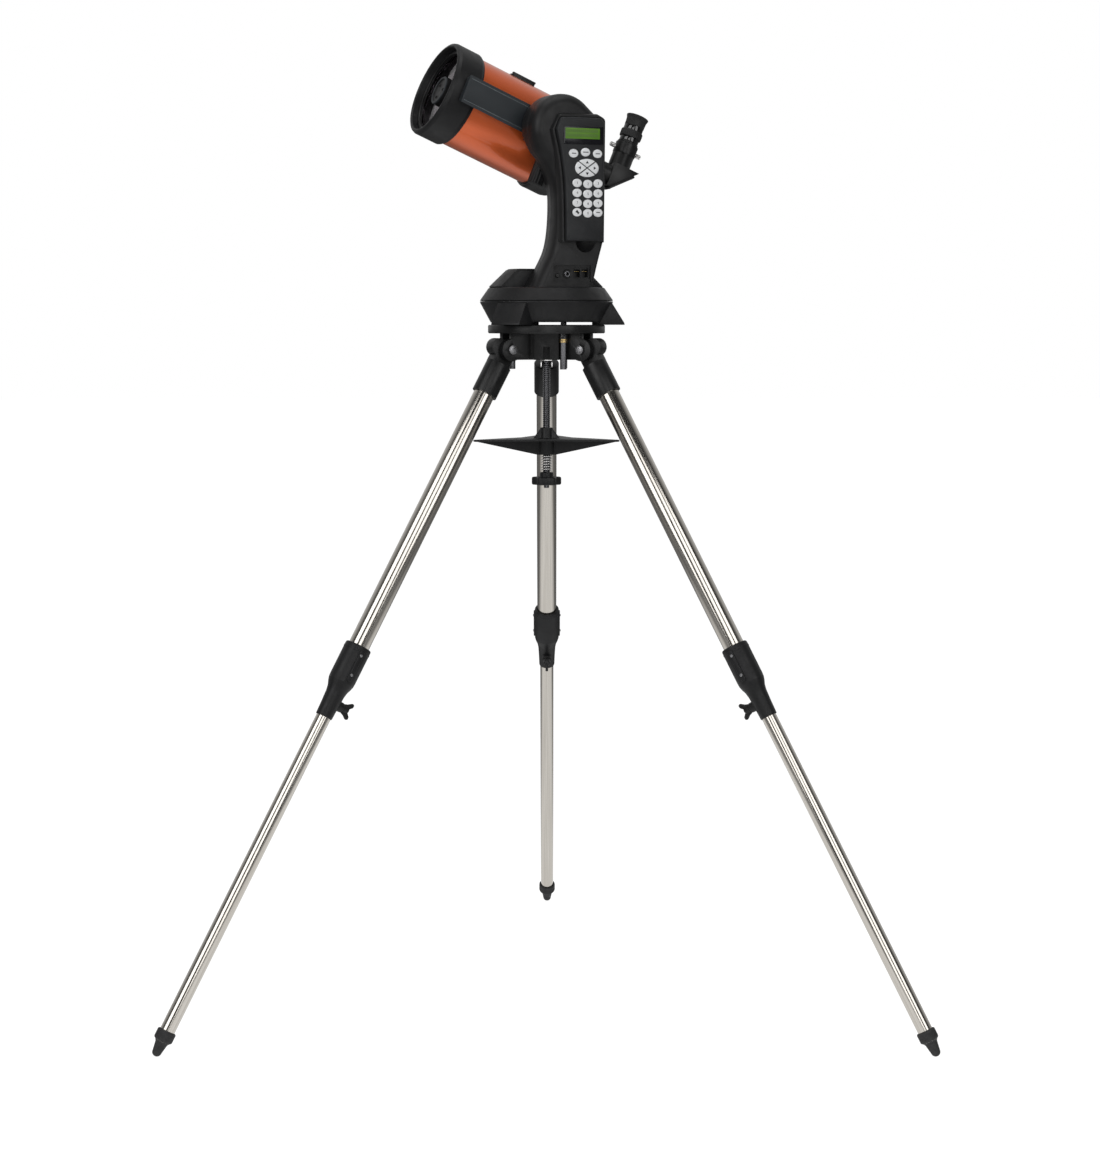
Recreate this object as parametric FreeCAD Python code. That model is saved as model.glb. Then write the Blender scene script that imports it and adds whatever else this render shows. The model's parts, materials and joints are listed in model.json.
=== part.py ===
"""Computerised 5-inch Schmidt-Cassegrain telescope on a single-arm mount and a steel field tripod.

Units are millimetres. The origin is on the floor under the mount's azimuth axis, +Z is up, and +X runs
to the right of the tripod's open side. Each function makes one sub-part in the frame of what carries it:
the leg frame (pivot at the origin, leg along -Z, outward +X), the mount frame (azimuth axis on Z, tube
pointing along +X, arm on the +Y side) or the tube frame (altitude axis through the origin, light enters
along -X, up is +Z).
"""

import FreeCAD
import Part
import math
import os

V = FreeCAD.Vector
Z_AXIS = V(0, 0, 1)

# --- rest pose -----------------------------------------------------------------------------------
AZIMUTH = 204.5            # heading of the tube, counted from +X about +Z
ALTITUDE = 23.0            # how far the tube points above the horizon
LEG_TILT = 29.9            # legs from the vertical
LEG_HEADINGS = {"left": -150.0, "right": -30.0, "rear": 90.0}

# --- tripod --------------------------------------------------------------------------------------
HEAD_TOP = 1056.0
HEAD_DISC_R, HEAD_DISC_T = 90.0, 13.0
HUB_R, HUB_BOTTOM = 44.0, 1003.0
PIVOT_R, PIVOT_Z = 71.0, 1018.0
PIVOT_BOLT_R = 4.0
LOBE_R = 17.0
RIB_W = 37.0
CLEVIS_W, TONGUE_W = 40.0, 20.0
MOUNT_BOLT_CIRCLE = 53.0
MOUNT_BOLT_HEADINGS = (-61.0, 59.0, 179.0)
MOUNT_BOLT_END = 1066.0
YOKE_R, YOKE_TOP, YOKE_END = 19.5, 26.0, 77.0
UPPER_R, UPPER_WALL = 16.0, 1.5
UPPER_TOP, UPPER_END = 32.0, 560.0
COLLAR_TOP, COLLAR_END = 506.0, 624.0
LOWER_R, LOWER_WALL = 11.25, 1.25
LOWER_TOP, LOWER_END = 536.0, 1150.0
LOCK_S = 600.0             # lock screw's place along the leg
FOOT_BALL_R = 7.0
FOOT_CAP_R, FOOT_CAP_TOP, FOOT_CAP_LEN = 14.25, 1133.0, 15.0
ROD_R, ROD_TIP_R = 6.0, 4.0
ROD_TOP, ROD_SHOULDER, ROD_END = 1020.0, 816.0, 804.5
TRAY_TOP, TRAY_T, TRAY_HUB_BOTTOM = 882.0, 3.0, 856.5
TRAY_TIP_R, TRAY_VALLEY_R, TRAY_TIP_W = 126.0, 46.0, 9.0
KNOB_R, KNOB_TOP, KNOB_BOTTOM, KNOB_BOSS_TOP = 22.0, 822.0, 809.8, 829.3
RUNNING = 0.05             # radial clearance of shafts that turn in their bores

# --- mount ---------------------------------------------------------------------------------------
BASE_BOTTOM_Z, BASE_RIM_Z = 1060.0, 1091.7
BASE_BOTTOM_R, BASE_RIM_R = 86.0, 102.0
POD_HEADINGS = (-121.0, -1.0, 119.0)
POD_R, POD_HALF_W = 120.0, 25.0
HOUSING_LOW, HOUSING_TOP, HOUSING_TOP_R = 1092.3, 1112.7, 89.0
WALL = 3.0
POST_R, POST_TOP = 12.0, 1105.0
COVER_TOP, COVER_TOP_R, COVER_GAP = 1141.0, 59.0, 0.3
WELL = (-46.0, 46.0, -72.0, -25.0)     # battery well: low x, high x, low y, high y
WELL_FLOOR = 1082.0
GEAR_MODULE, PINION_TEETH = 1.0, 12
AZIMUTH_TEETH, ALTITUDE_TEETH = 120, 72
GEAR_T = 6.0
AZIMUTH_GEAR_Z = 1067.0
MOTOR_R = 9.5
ARM_INNER_Y, ARM_SEAM_Y, ARM_OUTER_Y = 22.0, 45.0, 74.0
ALT_Z = 1350.0             # altitude axis above the floor
ARM_ROUND_R = 52.0
SHAFT_R = 14.0
ALT_GEAR_Y = 50.0
HC_BACK_Y, HC_FACE_Y = 68.0, 88.0
HC_GAP = 1.5
KEY_PROUD, KEY_DEPTH, KEY_GAP, KEY_TRAVEL = 1.6, 6.0, 0.4, 2.0
MENU_KEYS = ((-4.5, 1311.6), (-24.2, 1313.7), (-44.2, 1311.9))
NUMBER_COLUMNS = (-10.4, -28.0, -45.0)
NUMBER_ROWS = (1268.0, 1253.3, 1238.6, 1224.5)
KEY_W, KEY_H = 15.2, 12.6
PAD_CENTRE, PAD_W, PAD_H, PAD_SLOT = (-26.6, 1290.4), 39.0, 27.0, 1.8
WINDOW = (-54.0, 11.3, 1325.3, 1351.4)  # display window: low x, high x, low z, high z

# --- optical tube --------------------------------------------------------------------------------
TUBE_Y = -73.0             # optical axis beside the azimuth axis
TUBE_R, TUBE_WALL = 70.25, 1.5
TUBE_BACK, TUBE_FRONT = -35.0, 134.0
CELL_R = 75.0
FRONT_CELL_BACK, FRONT_FACE = 124.0, 169.0
CORRECTOR_R, CORRECTOR_X, CORRECTOR_T = 64.0, 148.0, 5.0
HOLDER_R = 22.5
REAR_CELL_FRONT, REAR_FACE = -25.0, -71.0
BAFFLE_R, BAFFLE_FRONT = 16.0, 60.0
MIRROR_R, MIRROR_X, MIRROR_T = 66.0, -60.0, 11.0
BAR_IN, BAR_OUT, BAR_W_IN, BAR_W_OUT = 75.0, 87.0, 37.0, 43.5
BAR_BACK, BAR_FRONT = -62.0, 150.0
SADDLE_CLEAR = 0.3
FOCUS_Y, FOCUS_Z, FOCUS_R = -33.0, -24.0, 11.0
BARREL_R, BARREL_BORE_R = 15.875, 15.93   # 1.25-inch push fit
VISUAL_FACE = -76.0
EYE_X = -164.0             # eyepiece axis behind the altitude axis
HOLDER_TOP, EYE_TOP = 58.0, 105.0
SCREW_Z = 48.0
THUMB_HEAD_R = 3.6


# --- helpers -------------------------------------------------------------------------------------
def cyl(r, start, end):
    """Round bar of radius r between two points."""
    a, b = V(*start), V(*end)
    return Part.makeCylinder(r, (b - a).Length, a, b - a)


def cone(r1, r2, start, end):
    a, b = V(*start), V(*end)
    return Part.makeCone(r1, r2, (b - a).Length, a, b - a)


def box(x0, x1, y0, y1, z0, z1):
    return Part.makeBox(x1 - x0, y1 - y0, z1 - z0, V(x0, y0, z0))


def face_of(points):
    """Face inside a closed polygon of 3D points."""
    return Part.Face(Part.makePolygon([V(*p) for p in points] + [V(*points[0])]))


def turned_z(profile):
    """Solid turned about Z from an outline of (radius, z) points."""
    face = face_of([(r, 0, z) for r, z in profile])
    return face.revolve(V(0, 0, 0), Z_AXIS, 360)


def turned_x(profile):
    """Solid turned about the optical axis from an outline of (x, radius) points."""
    face = face_of([(x, 0, r) for x, r in profile])
    solid = face.revolve(V(0, 0, 0), V(1, 0, 0), 360)
    solid.translate(V(0, TUBE_Y, 0))
    return solid


def prism_y(points, y0, y1):
    """Prism along Y from an outline of (x, z) points."""
    return face_of([(x, y0, z) for x, z in points]).extrude(V(0, y1 - y0, 0))


def prism_z(points, z0, z1):
    return face_of([(x, y, z0) for x, y in points]).extrude(V(0, 0, z1 - z0))


def fuse(shapes):
    """One solid from touching shapes, with leftover seams removed."""
    whole = shapes[0].multiFuse(shapes[1:]) if len(shapes) > 1 else shapes[0]
    return whole.removeSplitter()


def cut(shape, tools):
    for tool in tools:
        shape = shape.cut(tool)
    return shape


def turned(shape, axis, degrees, centre=(0, 0, 0)):
    copy = shape.copy()
    copy.rotate(V(*centre), V(*axis), degrees)
    return copy


def moved(shape, offset):
    copy = shape.copy()
    copy.translate(V(*offset))
    return copy


def in_leg_frame(shape, heading):
    """Leg frame to the row's frame, for the leg that leans out along a heading."""
    leaning = turned(shape, (0, 1, 0), -LEG_TILT)
    return turned(moved(leaning, (PIVOT_R, 0, PIVOT_Z)), (0, 0, 1), heading)


def in_mount_frame(shape):
    return turned(shape, (0, 0, 1), AZIMUTH)


def in_tube_frame(shape):
    return in_mount_frame(moved(turned(shape, (0, 1, 0), -ALTITUDE), (0, 0, ALT_Z)))


def gear_outline(teeth, phase):
    """Outline points of a spur gear with straight-flanked teeth and generous backlash."""
    pitch_r = teeth * GEAR_MODULE / 2
    tip_r, root_r = pitch_r + 0.75 * GEAR_MODULE, pitch_r - 1.05 * GEAR_MODULE
    tip_half, root_half = 0.26 * GEAR_MODULE, 0.80 * GEAR_MODULE
    points = []
    for n in range(teeth):
        centre = math.radians(phase + 360.0 * n / teeth)
        for r, half in ((root_r, -root_half), (tip_r, -tip_half), (tip_r, tip_half), (root_r, root_half)):
            angle = centre + half / r
            points.append((r * math.cos(angle), r * math.sin(angle)))
    return points


def gear(teeth, bore_r, phase):
    """Spur gear about Z from z = 0 up to its thickness."""
    blank = prism_z(gear_outline(teeth, phase), 0, GEAR_T)
    return blank.cut(cyl(bore_r, (0, 0, -1), (0, 0, GEAR_T + 1)))


# --- tripod --------------------------------------------------------------------------------------
def clevis():
    """One pair of cheeks on the hub, in the frame of a leg that would hang straight down."""
    web = box(-PIVOT_R + HUB_R - 10, 0, -CLEVIS_W / 2, CLEVIS_W / 2, -LOBE_R + 2,
              HEAD_TOP - HEAD_DISC_T - PIVOT_Z)
    ears = cyl(LOBE_R, (0, -CLEVIS_W / 2, 0), (0, CLEVIS_W / 2, 0))
    slot_half = TONGUE_W / 2 + 0.3
    slot_back = -27.0
    slot = box(slot_back, 60, -slot_half, slot_half, -60, HEAD_TOP - HEAD_DISC_T - PIVOT_Z)
    hole = cyl(PIVOT_BOLT_R, (0, -40, 0), (0, 40, 0))
    return fuse([web, ears]), slot, hole


def tripod_head():
    disc = turned_z([(0, HEAD_TOP - HEAD_DISC_T), (HEAD_DISC_R - 1.5, HEAD_TOP - HEAD_DISC_T),
                     (HEAD_DISC_R, HEAD_TOP - HEAD_DISC_T + 1.5), (HEAD_DISC_R, HEAD_TOP - 1.5),
                     (HEAD_DISC_R - 1.5, HEAD_TOP), (0, HEAD_TOP)])
    hub = cyl(HUB_R, (0, 0, HUB_BOTTOM), (0, 0, HEAD_TOP - HEAD_DISC_T + 1))
    bodies, holes = [disc, hub], []
    for heading in LEG_HEADINGS.values():
        cheeks, slot, hole = clevis()
        bodies.append(turned(moved(cheeks, (PIVOT_R, 0, PIVOT_Z)), (0, 0, 1), heading))
        holes += [turned(moved(s, (PIVOT_R, 0, PIVOT_Z)), (0, 0, 1), heading) for s in (slot, hole)]
        rib = box(0, HUB_R + 5, -RIB_W / 2, RIB_W / 2, HUB_BOTTOM, HEAD_TOP - HEAD_DISC_T + 1)
        bodies.append(turned(rib, (0, 0, 1), heading + 60))
        window = box(26, HUB_R + 6, -5, 5, HUB_BOTTOM - 3, HUB_BOTTOM + 20)
        holes.append(turned(window, (0, 0, 1), heading + 60))
    for heading in MOUNT_BOLT_HEADINGS:
        hole = cyl(5.0, (MOUNT_BOLT_CIRCLE, 0, HUB_BOTTOM - 5), (MOUNT_BOLT_CIRCLE, 0, HEAD_TOP + 1))
        holes.append(turned(hole, (0, 0, 1), heading))
    holes.append(cyl(ROD_R, (0, 0, HUB_BOTTOM - 5), (0, 0, ROD_TOP)))
    return cut(fuse(bodies), holes)


def head_bolts():
    """Three captive bolts that hold the mount and three pivot bolts of the legs."""
    under = HEAD_TOP - HEAD_DISC_T
    solids = []
    for heading in MOUNT_BOLT_HEADINGS:
        at = (MOUNT_BOLT_CIRCLE, 0)
        shank = cyl(4.0, (*at, under - 4), (*at, MOUNT_BOLT_END))
        collar = cyl(6.5, (*at, under - 8), (*at, under))
        washers = cyl(6.0, (*at, under - 14), (*at, under - 8))
        grip = cyl(5.0, (*at, 988.5), (*at, under - 14))
        solids.append(turned(fuse([shank, collar, washers, grip]), (0, 0, 1), heading))
    for heading in LEG_HEADINGS.values():
        half = CLEVIS_W / 2
        shank = cyl(PIVOT_BOLT_R - RUNNING, (0, -half, 0), (0, half, 0))
        heads = [cyl(7.0, (0, half, 0), (0, half + 3.5, 0)), cyl(6.5, (0, -half - 5, 0), (0, -half, 0))]
        bolt = fuse([shank] + heads)
        solids.append(turned(moved(bolt, (PIVOT_R, 0, PIVOT_Z)), (0, 0, 1), heading))
    return Part.makeCompound(solids)


def center_rod():
    """Threaded rod with a stepped tip and a small retaining clip under the hub."""
    rod = cyl(ROD_R - 0.01, (0, 0, ROD_SHOULDER), (0, 0, ROD_TOP))
    tip = cyl(ROD_TIP_R, (0, 0, ROD_END), (0, 0, ROD_SHOULDER))
    clip = cut(cyl(9.5, (0, 0, 991), (0, 0, HUB_BOTTOM)), [box(-20, 20, 6.5, 20, 980, HUB_BOTTOM - 2.5),
                                                           box(-20, 20, -20, -6.5, 980, HUB_BOTTOM - 2.5)])
    return fuse([rod, tip, clip])


def spreader_tray():
    """Three-pointed leg spreader that doubles as a small tray."""
    outline = []
    for heading in LEG_HEADINGS.values():
        half = math.degrees(TRAY_TIP_W / 2 / TRAY_TIP_R)
        for angle, r in ((heading - half, TRAY_TIP_R), (heading + half, TRAY_TIP_R),
                         (heading + 60, TRAY_VALLEY_R)):
            outline.append((r * math.cos(math.radians(angle)), r * math.sin(math.radians(angle))))
    order = sorted(outline, key=lambda p: math.atan2(p[1], p[0]))
    plate = prism_z(order, TRAY_TOP - TRAY_T, TRAY_TOP)
    solids = [plate, cyl(15, (0, 0, TRAY_HUB_BOTTOM), (0, 0, TRAY_TOP))]
    for heading in LEG_HEADINGS.values():
        low = [(10, TRAY_HUB_BOTTOM), (16, TRAY_HUB_BOTTOM), (TRAY_TIP_R - 4, TRAY_TOP - TRAY_T),
               (TRAY_TIP_R - 4, TRAY_TOP - 1), (10, TRAY_TOP - 1)]
        solids.append(turned(prism_y(low, -2.5, 2.5), (0, 0, 1), heading))
        fin = [(8, TRAY_TOP - 1), (24, TRAY_TOP - 1), (9.5, TRAY_TOP + 16), (8, TRAY_TOP + 16)]
        solids.append(turned(prism_y(fin, -1.5, 1.5), (0, 0, 1), heading))
    solids.append(cyl(10, (0, 0, TRAY_TOP - 1), (0, 0, TRAY_TOP + 16)))
    return fuse(solids).cut(cyl(ROD_R + RUNNING, (0, 0, 800), (0, 0, 920)))


def tray_spring():
    """Coil spring between the tension knob and the spreader's hub."""
    wire_r, coil_r, turns = 1.0, 7.75, 6
    low, high = KNOB_BOSS_TOP + wire_r + 0.4, TRAY_HUB_BOTTOM - wire_r - 0.4
    helix = Part.makeHelix((high - low) / turns, high - low, coil_r)
    section = Part.Wire(Part.makeCircle(wire_r, V(coil_r, 0, 0), V(0, 1, 0)))
    spring = Part.Wire(helix.Edges).makePipeShell([section], True, True)
    return moved(spring, (0, 0, low))


def tension_knob():
    """Lobed hand nut on the threaded rod."""
    disc = cyl(KNOB_R - 3, (0, 0, KNOB_BOTTOM), (0, 0, KNOB_TOP))
    lobes = []
    for n in range(6):
        angle = math.radians(60 * n)
        at = ((KNOB_R - 6) * math.cos(angle), (KNOB_R - 6) * math.sin(angle))
        lobes.append(cyl(7.0, (*at, KNOB_BOTTOM), (*at, KNOB_TOP)))
    boss = cyl(10.5, (0, 0, KNOB_TOP - 1), (0, 0, KNOB_BOSS_TOP))
    upper_bore = cyl(ROD_R + RUNNING, (0, 0, ROD_SHOULDER - 0.3), (0, 0, KNOB_BOSS_TOP + 1))
    lower_bore = cyl(ROD_TIP_R + RUNNING, (0, 0, KNOB_BOTTOM - 1), (0, 0, ROD_SHOULDER))
    return cut(fuse([disc] + lobes + [boss]), [upper_bore, lower_bore])


def leg_yoke():
    tongue = cyl(16, (0, -TONGUE_W / 2, 0), (0, TONGUE_W / 2, 0))
    knuckle = cyl(13.5, (16, -TONGUE_W / 2, -4), (16, TONGUE_W / 2, -4))
    web = box(-13, 17, -TONGUE_W / 2, TONGUE_W / 2, -YOKE_TOP - 2, 0)
    sleeve = cyl(YOKE_R, (0, 0, -YOKE_END), (0, 0, -YOKE_TOP))
    socket = cyl(UPPER_R, (0, 0, -YOKE_END - 1), (0, 0, -UPPER_TOP))
    pivot = cyl(PIVOT_BOLT_R, (0, -30, 0), (0, 30, 0))
    return cut(fuse([tongue, knuckle, web, sleeve]), [socket, pivot])


def leg_upper_tube():
    outer = cyl(UPPER_R, (0, 0, -UPPER_END), (0, 0, -UPPER_TOP))
    return outer.cut(cyl(UPPER_R - UPPER_WALL, (0, 0, -UPPER_END - 1), (0, 0, -UPPER_TOP + 1)))


def leg_collar():
    """Clamp collar that holds the upper tube and guides the lower one."""
    body = turned_z([(0, -COLLAR_TOP), (19.5, -COLLAR_TOP), (20.5, -COLLAR_TOP - 1.5), (20.5, -566),
                     (17.0, -574), (14.5, -584), (13.0, -COLLAR_END), (0, -COLLAR_END)])
    socket = cyl(UPPER_R, (0, 0, -UPPER_END), (0, 0, -COLLAR_TOP + 1))
    guide = cyl(LOWER_R + RUNNING, (0, 0, -COLLAR_END - 1), (0, 0, -COLLAR_TOP))
    boss = cyl(7.5, (-21, 0, -LOCK_S), (-10, 0, -LOCK_S))
    thread = cyl(3.0 + RUNNING, (-30, 0, -LOCK_S), (0, 0, -LOCK_S))
    ridge = [box(-3, 3, -22.5, -18, -560, -512), box(-3, 3, 18, 22.5, -560, -512)]
    return cut(fuse([body, boss] + ridge), [socket, guide, thread])


def leg_lock_screw():
    """Wing screw that bears on the lower tube, on the tripod's inner side."""
    shank = cyl(3.0, (-24, 0, -LOCK_S), (-LOWER_R - 0.5, 0, -LOCK_S))
    hub = cyl(5.5, (-30, 0, -LOCK_S), (-21.6, 0, -LOCK_S))
    wing = [(-21.6, -LOCK_S - 7), (-21.6, -LOCK_S + 7), (-34, -LOCK_S + 13), (-37, -LOCK_S + 8),
            (-31, -LOCK_S), (-37, -LOCK_S - 8), (-34, -LOCK_S - 13)]
    return fuse([shank, hub, prism_y(wing, -2, 2)])


def leg_lower_tube():
    outer = cyl(LOWER_R, (0, 0, -LOWER_END), (0, 0, -LOWER_TOP))
    return outer.cut(cyl(LOWER_R - LOWER_WALL, (0, 0, -LOWER_END - 1), (0, 0, -LOWER_TOP + 1)))


def leg_foot():
    """Rubber foot: a cap over the tube's end and a rounded tip that touches the floor."""
    ball_s = (PIVOT_Z - FOOT_BALL_R) / math.cos(math.radians(LEG_TILT))
    cap_end = FOOT_CAP_TOP + FOOT_CAP_LEN
    cap = turned_z([(0, -FOOT_CAP_TOP), (FOOT_CAP_R - 1.5, -FOOT_CAP_TOP), (FOOT_CAP_R, -FOOT_CAP_TOP - 2),
                    (FOOT_CAP_R, -cap_end + 1), (FOOT_CAP_R - 1, -cap_end), (0, -cap_end)])
    tip = cone(9.0, FOOT_BALL_R, (0, 0, -cap_end + 1), (0, 0, -ball_s))
    ball = Part.makeSphere(FOOT_BALL_R, V(0, 0, -ball_s))
    socket = cyl(LOWER_R, (0, 0, -LOWER_END), (0, 0, -FOOT_CAP_TOP + 1))
    plug = fuse([cap, cone(FOOT_CAP_R - 1, 9.0, (0, 0, -cap_end), (0, 0, -cap_end - 5)), tip, ball])
    return plug.cut(socket)


# --- mount: fixed base ---------------------------------------------------------------------------
def base_bottom():
    """Fixed lower base: a flared pan with three feet and the azimuth post."""
    outer = turned_z([(0, BASE_BOTTOM_Z), (BASE_BOTTOM_R, BASE_BOTTOM_Z), (BASE_RIM_R, BASE_RIM_Z - 2),
                      (BASE_RIM_R, BASE_RIM_Z), (0, BASE_RIM_Z)])
    pods = []
    for heading in POD_HEADINGS:
        side = [(70, HEAD_TOP), (POD_R, HEAD_TOP), (POD_R - 0.5, HEAD_TOP + 3),
                (BASE_RIM_R - 1, BASE_RIM_Z - 3), (70, BASE_RIM_Z - 3)]
        pods.append(turned(prism_y(side, -POD_HALF_W, POD_HALF_W), (0, 0, 1), heading))
    hollow = turned_z([(0, BASE_BOTTOM_Z + 4), (BASE_BOTTOM_R - 3, BASE_BOTTOM_Z + 4),
                       (BASE_RIM_R - 4, BASE_RIM_Z + 1), (0, BASE_RIM_Z + 1)])
    post = cyl(POST_R, (0, 0, BASE_BOTTOM_Z + 1), (0, 0, POST_TOP))
    seat = cyl(62, (0, 0, BASE_BOTTOM_Z + 3), (0, 0, AZIMUTH_GEAR_Z))
    holes = [turned(cyl(4.0, (MOUNT_BOLT_CIRCLE, 0, 1050), (MOUNT_BOLT_CIRCLE, 0, MOUNT_BOLT_END)),
                    (0, 0, 1), heading) for heading in MOUNT_BOLT_HEADINGS]
    shell = fuse([outer] + pods).cut(hollow)
    return cut(fuse([shell, post, seat]), holes)


def azimuth_gear():
    ring = gear(AZIMUTH_TEETH, 48.0, 0.0)
    return moved(ring, (0, 0, AZIMUTH_GEAR_Z))


# --- mount: turning base and arm -----------------------------------------------------------------
def azimuth_pinion():
    """Pinion on the azimuth motor's shaft, in mesh with the fixed gear on the +X side."""
    reach = (AZIMUTH_TEETH + PINION_TEETH) * GEAR_MODULE / 2
    # a pinion gap faces the gear tooth that points along the mount's +X
    gear_phase = (-AZIMUTH) % (360.0 / AZIMUTH_TEETH)
    half_tooth = 180.0 / PINION_TEETH
    phase = 180.0 + half_tooth - gear_phase * AZIMUTH_TEETH / PINION_TEETH
    pinion = gear(PINION_TEETH, 1.5, phase)
    shaft = cyl(1.5, (0, 0, 0), (0, 0, GEAR_T + 5))
    return moved(fuse([pinion, shaft]), (reach, 0, AZIMUTH_GEAR_Z))


def drive_motors():
    """Azimuth motor under the turning base's top and altitude motor inside the arm."""
    reach = (AZIMUTH_TEETH + PINION_TEETH) * GEAR_MODULE / 2
    low = AZIMUTH_GEAR_Z + GEAR_T + 2
    azimuth = cyl(MOTOR_R, (reach, 0, low), (reach, 0, HOUSING_TOP - WALL))
    azimuth = azimuth.cut(cyl(1.5 + RUNNING, (reach, 0, low - 1), (reach, 0, low + 8)))
    drop = ALT_Z - (ALTITUDE_TEETH + PINION_TEETH) * GEAR_MODULE / 2
    high = ALT_GEAR_Y - 2
    altitude = cyl(MOTOR_R, (0, ARM_INNER_Y + WALL, drop), (0, high, drop))
    altitude = altitude.cut(cyl(1.5 + RUNNING, (0, high - 8, drop), (0, high + 1, drop)))
    return Part.makeCompound([azimuth, altitude])


def base_housing():
    """Turning upper half of the base, with the battery well and the azimuth bearing."""
    outer = turned_z([(0, HOUSING_LOW), (BASE_RIM_R, HOUSING_LOW), (BASE_RIM_R, HOUSING_LOW + 1.5),
                      (HOUSING_TOP_R, HOUSING_TOP), (0, HOUSING_TOP)])
    hollow = turned_z([(0, HOUSING_LOW - 1), (BASE_RIM_R - WALL - 0.5, HOUSING_LOW - 1),
                       (HOUSING_TOP_R - WALL, HOUSING_TOP - WALL), (0, HOUSING_TOP - WALL)])
    shell = outer.cut(hollow)
    hub = cyl(20, (0, 0, AZIMUTH_GEAR_Z + GEAR_T + 3), (0, 0, HOUSING_TOP - 1))
    x0, x1, y0, y1 = WELL
    tub = box(x0 - 2, x1 + 2, y0 - 2, y1 + 2, WELL_FLOOR - 2, HOUSING_TOP - 1)
    well = box(x0, x1, y0, y1, WELL_FLOOR, HOUSING_TOP + 1)
    bore = cyl(POST_R + RUNNING, (0, 0, 1070), (0, 0, POST_TOP + 1))
    return cut(fuse([shell, hub, tub]), [well, bore])


def battery_cover():
    """Domed lift-off cover over the batteries, flat on the arm's side."""
    low = HOUSING_TOP + COVER_GAP
    outer = turned_z([(0, low), (HOUSING_TOP_R - 0.7, low), (COVER_TOP_R + 3, COVER_TOP - 1.5),
                      (COVER_TOP_R, COVER_TOP), (0, COVER_TOP)])
    hollow = turned_z([(0, low - 1), (HOUSING_TOP_R - WALL - 1.5, low - 1),
                       (COVER_TOP_R - 1, COVER_TOP - WALL), (0, COVER_TOP - WALL)])
    arm_side = ARM_INNER_Y - 0.7
    outer = outer.cut(box(-120, 120, arm_side, 120, 1100, 1160))
    hollow = hollow.cut(box(-120, 120, arm_side - 2.5, 120, 1100, 1160))
    return outer.cut(hollow)


def arm_wire(y, front_shift, inset=0.0):
    """Side outline of the arm in the plane at y, with its front edge moved forward by front_shift."""
    def at(x, z):
        return V(x, y, z)
    r = ARM_ROUND_R - inset
    low = HOUSING_TOP + (WALL if inset else 0.0)
    join_back = at(-r * math.cos(math.radians(43)), ALT_Z + r * math.sin(math.radians(43)))
    join_front = at(r * math.cos(math.radians(10)), ALT_Z - r * math.sin(math.radians(10)))
    back_top = at(-67.5 + inset, 1357.0 - inset / 2)
    back_low = at(-63.5 + inset, 1180.0)
    heel = at(-46.0 + inset, low)
    toe = at(48.0 - inset, low)
    f = front_shift - inset
    front = [join_front, at(40 + f / 2, 1318), at(24 + f, 1298), at(11 + f, 1262), at(9 + f, 1230),
             at(11.5 + f, 1194), at(17 + f, 1168), at(27 + f, 1147), toe]
    front_curve = Part.BSplineCurve()
    front_curve.interpolate(front)
    back_curve = Part.BSplineCurve()
    back_curve.interpolate([heel, at(-54 + inset, 1146), back_low])
    edges = [Part.makeLine(toe, heel), back_curve.toShape(), Part.makeLine(back_low, back_top),
             Part.makeLine(back_top, join_back),
             Part.Arc(join_back, at(0, ALT_Z + r), join_front).toShape(), front_curve.toShape()]
    return Part.Wire(edges)


def arm_slab(y0, y1, shift0, shift1, inset=0.0):
    """Solid slice of the arm between two planes."""
    wires = [arm_wire(y0, shift0, inset), arm_wire(y1, shift1, inset)]
    return Part.makeLoft(wires, True, True)


def arm_inner_shell():
    """Tube-side half of the arm, with the altitude bearing."""
    slab = arm_slab(ARM_INNER_Y, ARM_SEAM_Y, 0, 5)
    hollow = arm_slab(ARM_INNER_Y + WALL, ARM_SEAM_Y + 1, 0, 5, inset=WALL)
    bearing = cyl(19, (0, ARM_INNER_Y, ALT_Z), (0, ARM_INNER_Y + 12, ALT_Z))
    bore = cyl(SHAFT_R + RUNNING, (0, 0, ALT_Z), (0, 60, ALT_Z))
    return cut(fuse([slab.cut(hollow), bearing]), [bore])


def hand_control_outline(grow):
    """Outline of the hand control, wide at the display and narrow at the grip, grown by a margin."""
    g = grow
    return [(5.8 + g, 1181.5 - g), (7.4 + g, 1263), (13.8 + g, 1311), (22.5 + g, 1350), (21 + g, 1360 + g),
            (14, 1365.5 + g), (-50, 1365.5 + g), (-56.5 - g, 1359 + g), (-55.5 - g, 1264),
            (-54.5 - g, 1181.5 - g)]


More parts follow.
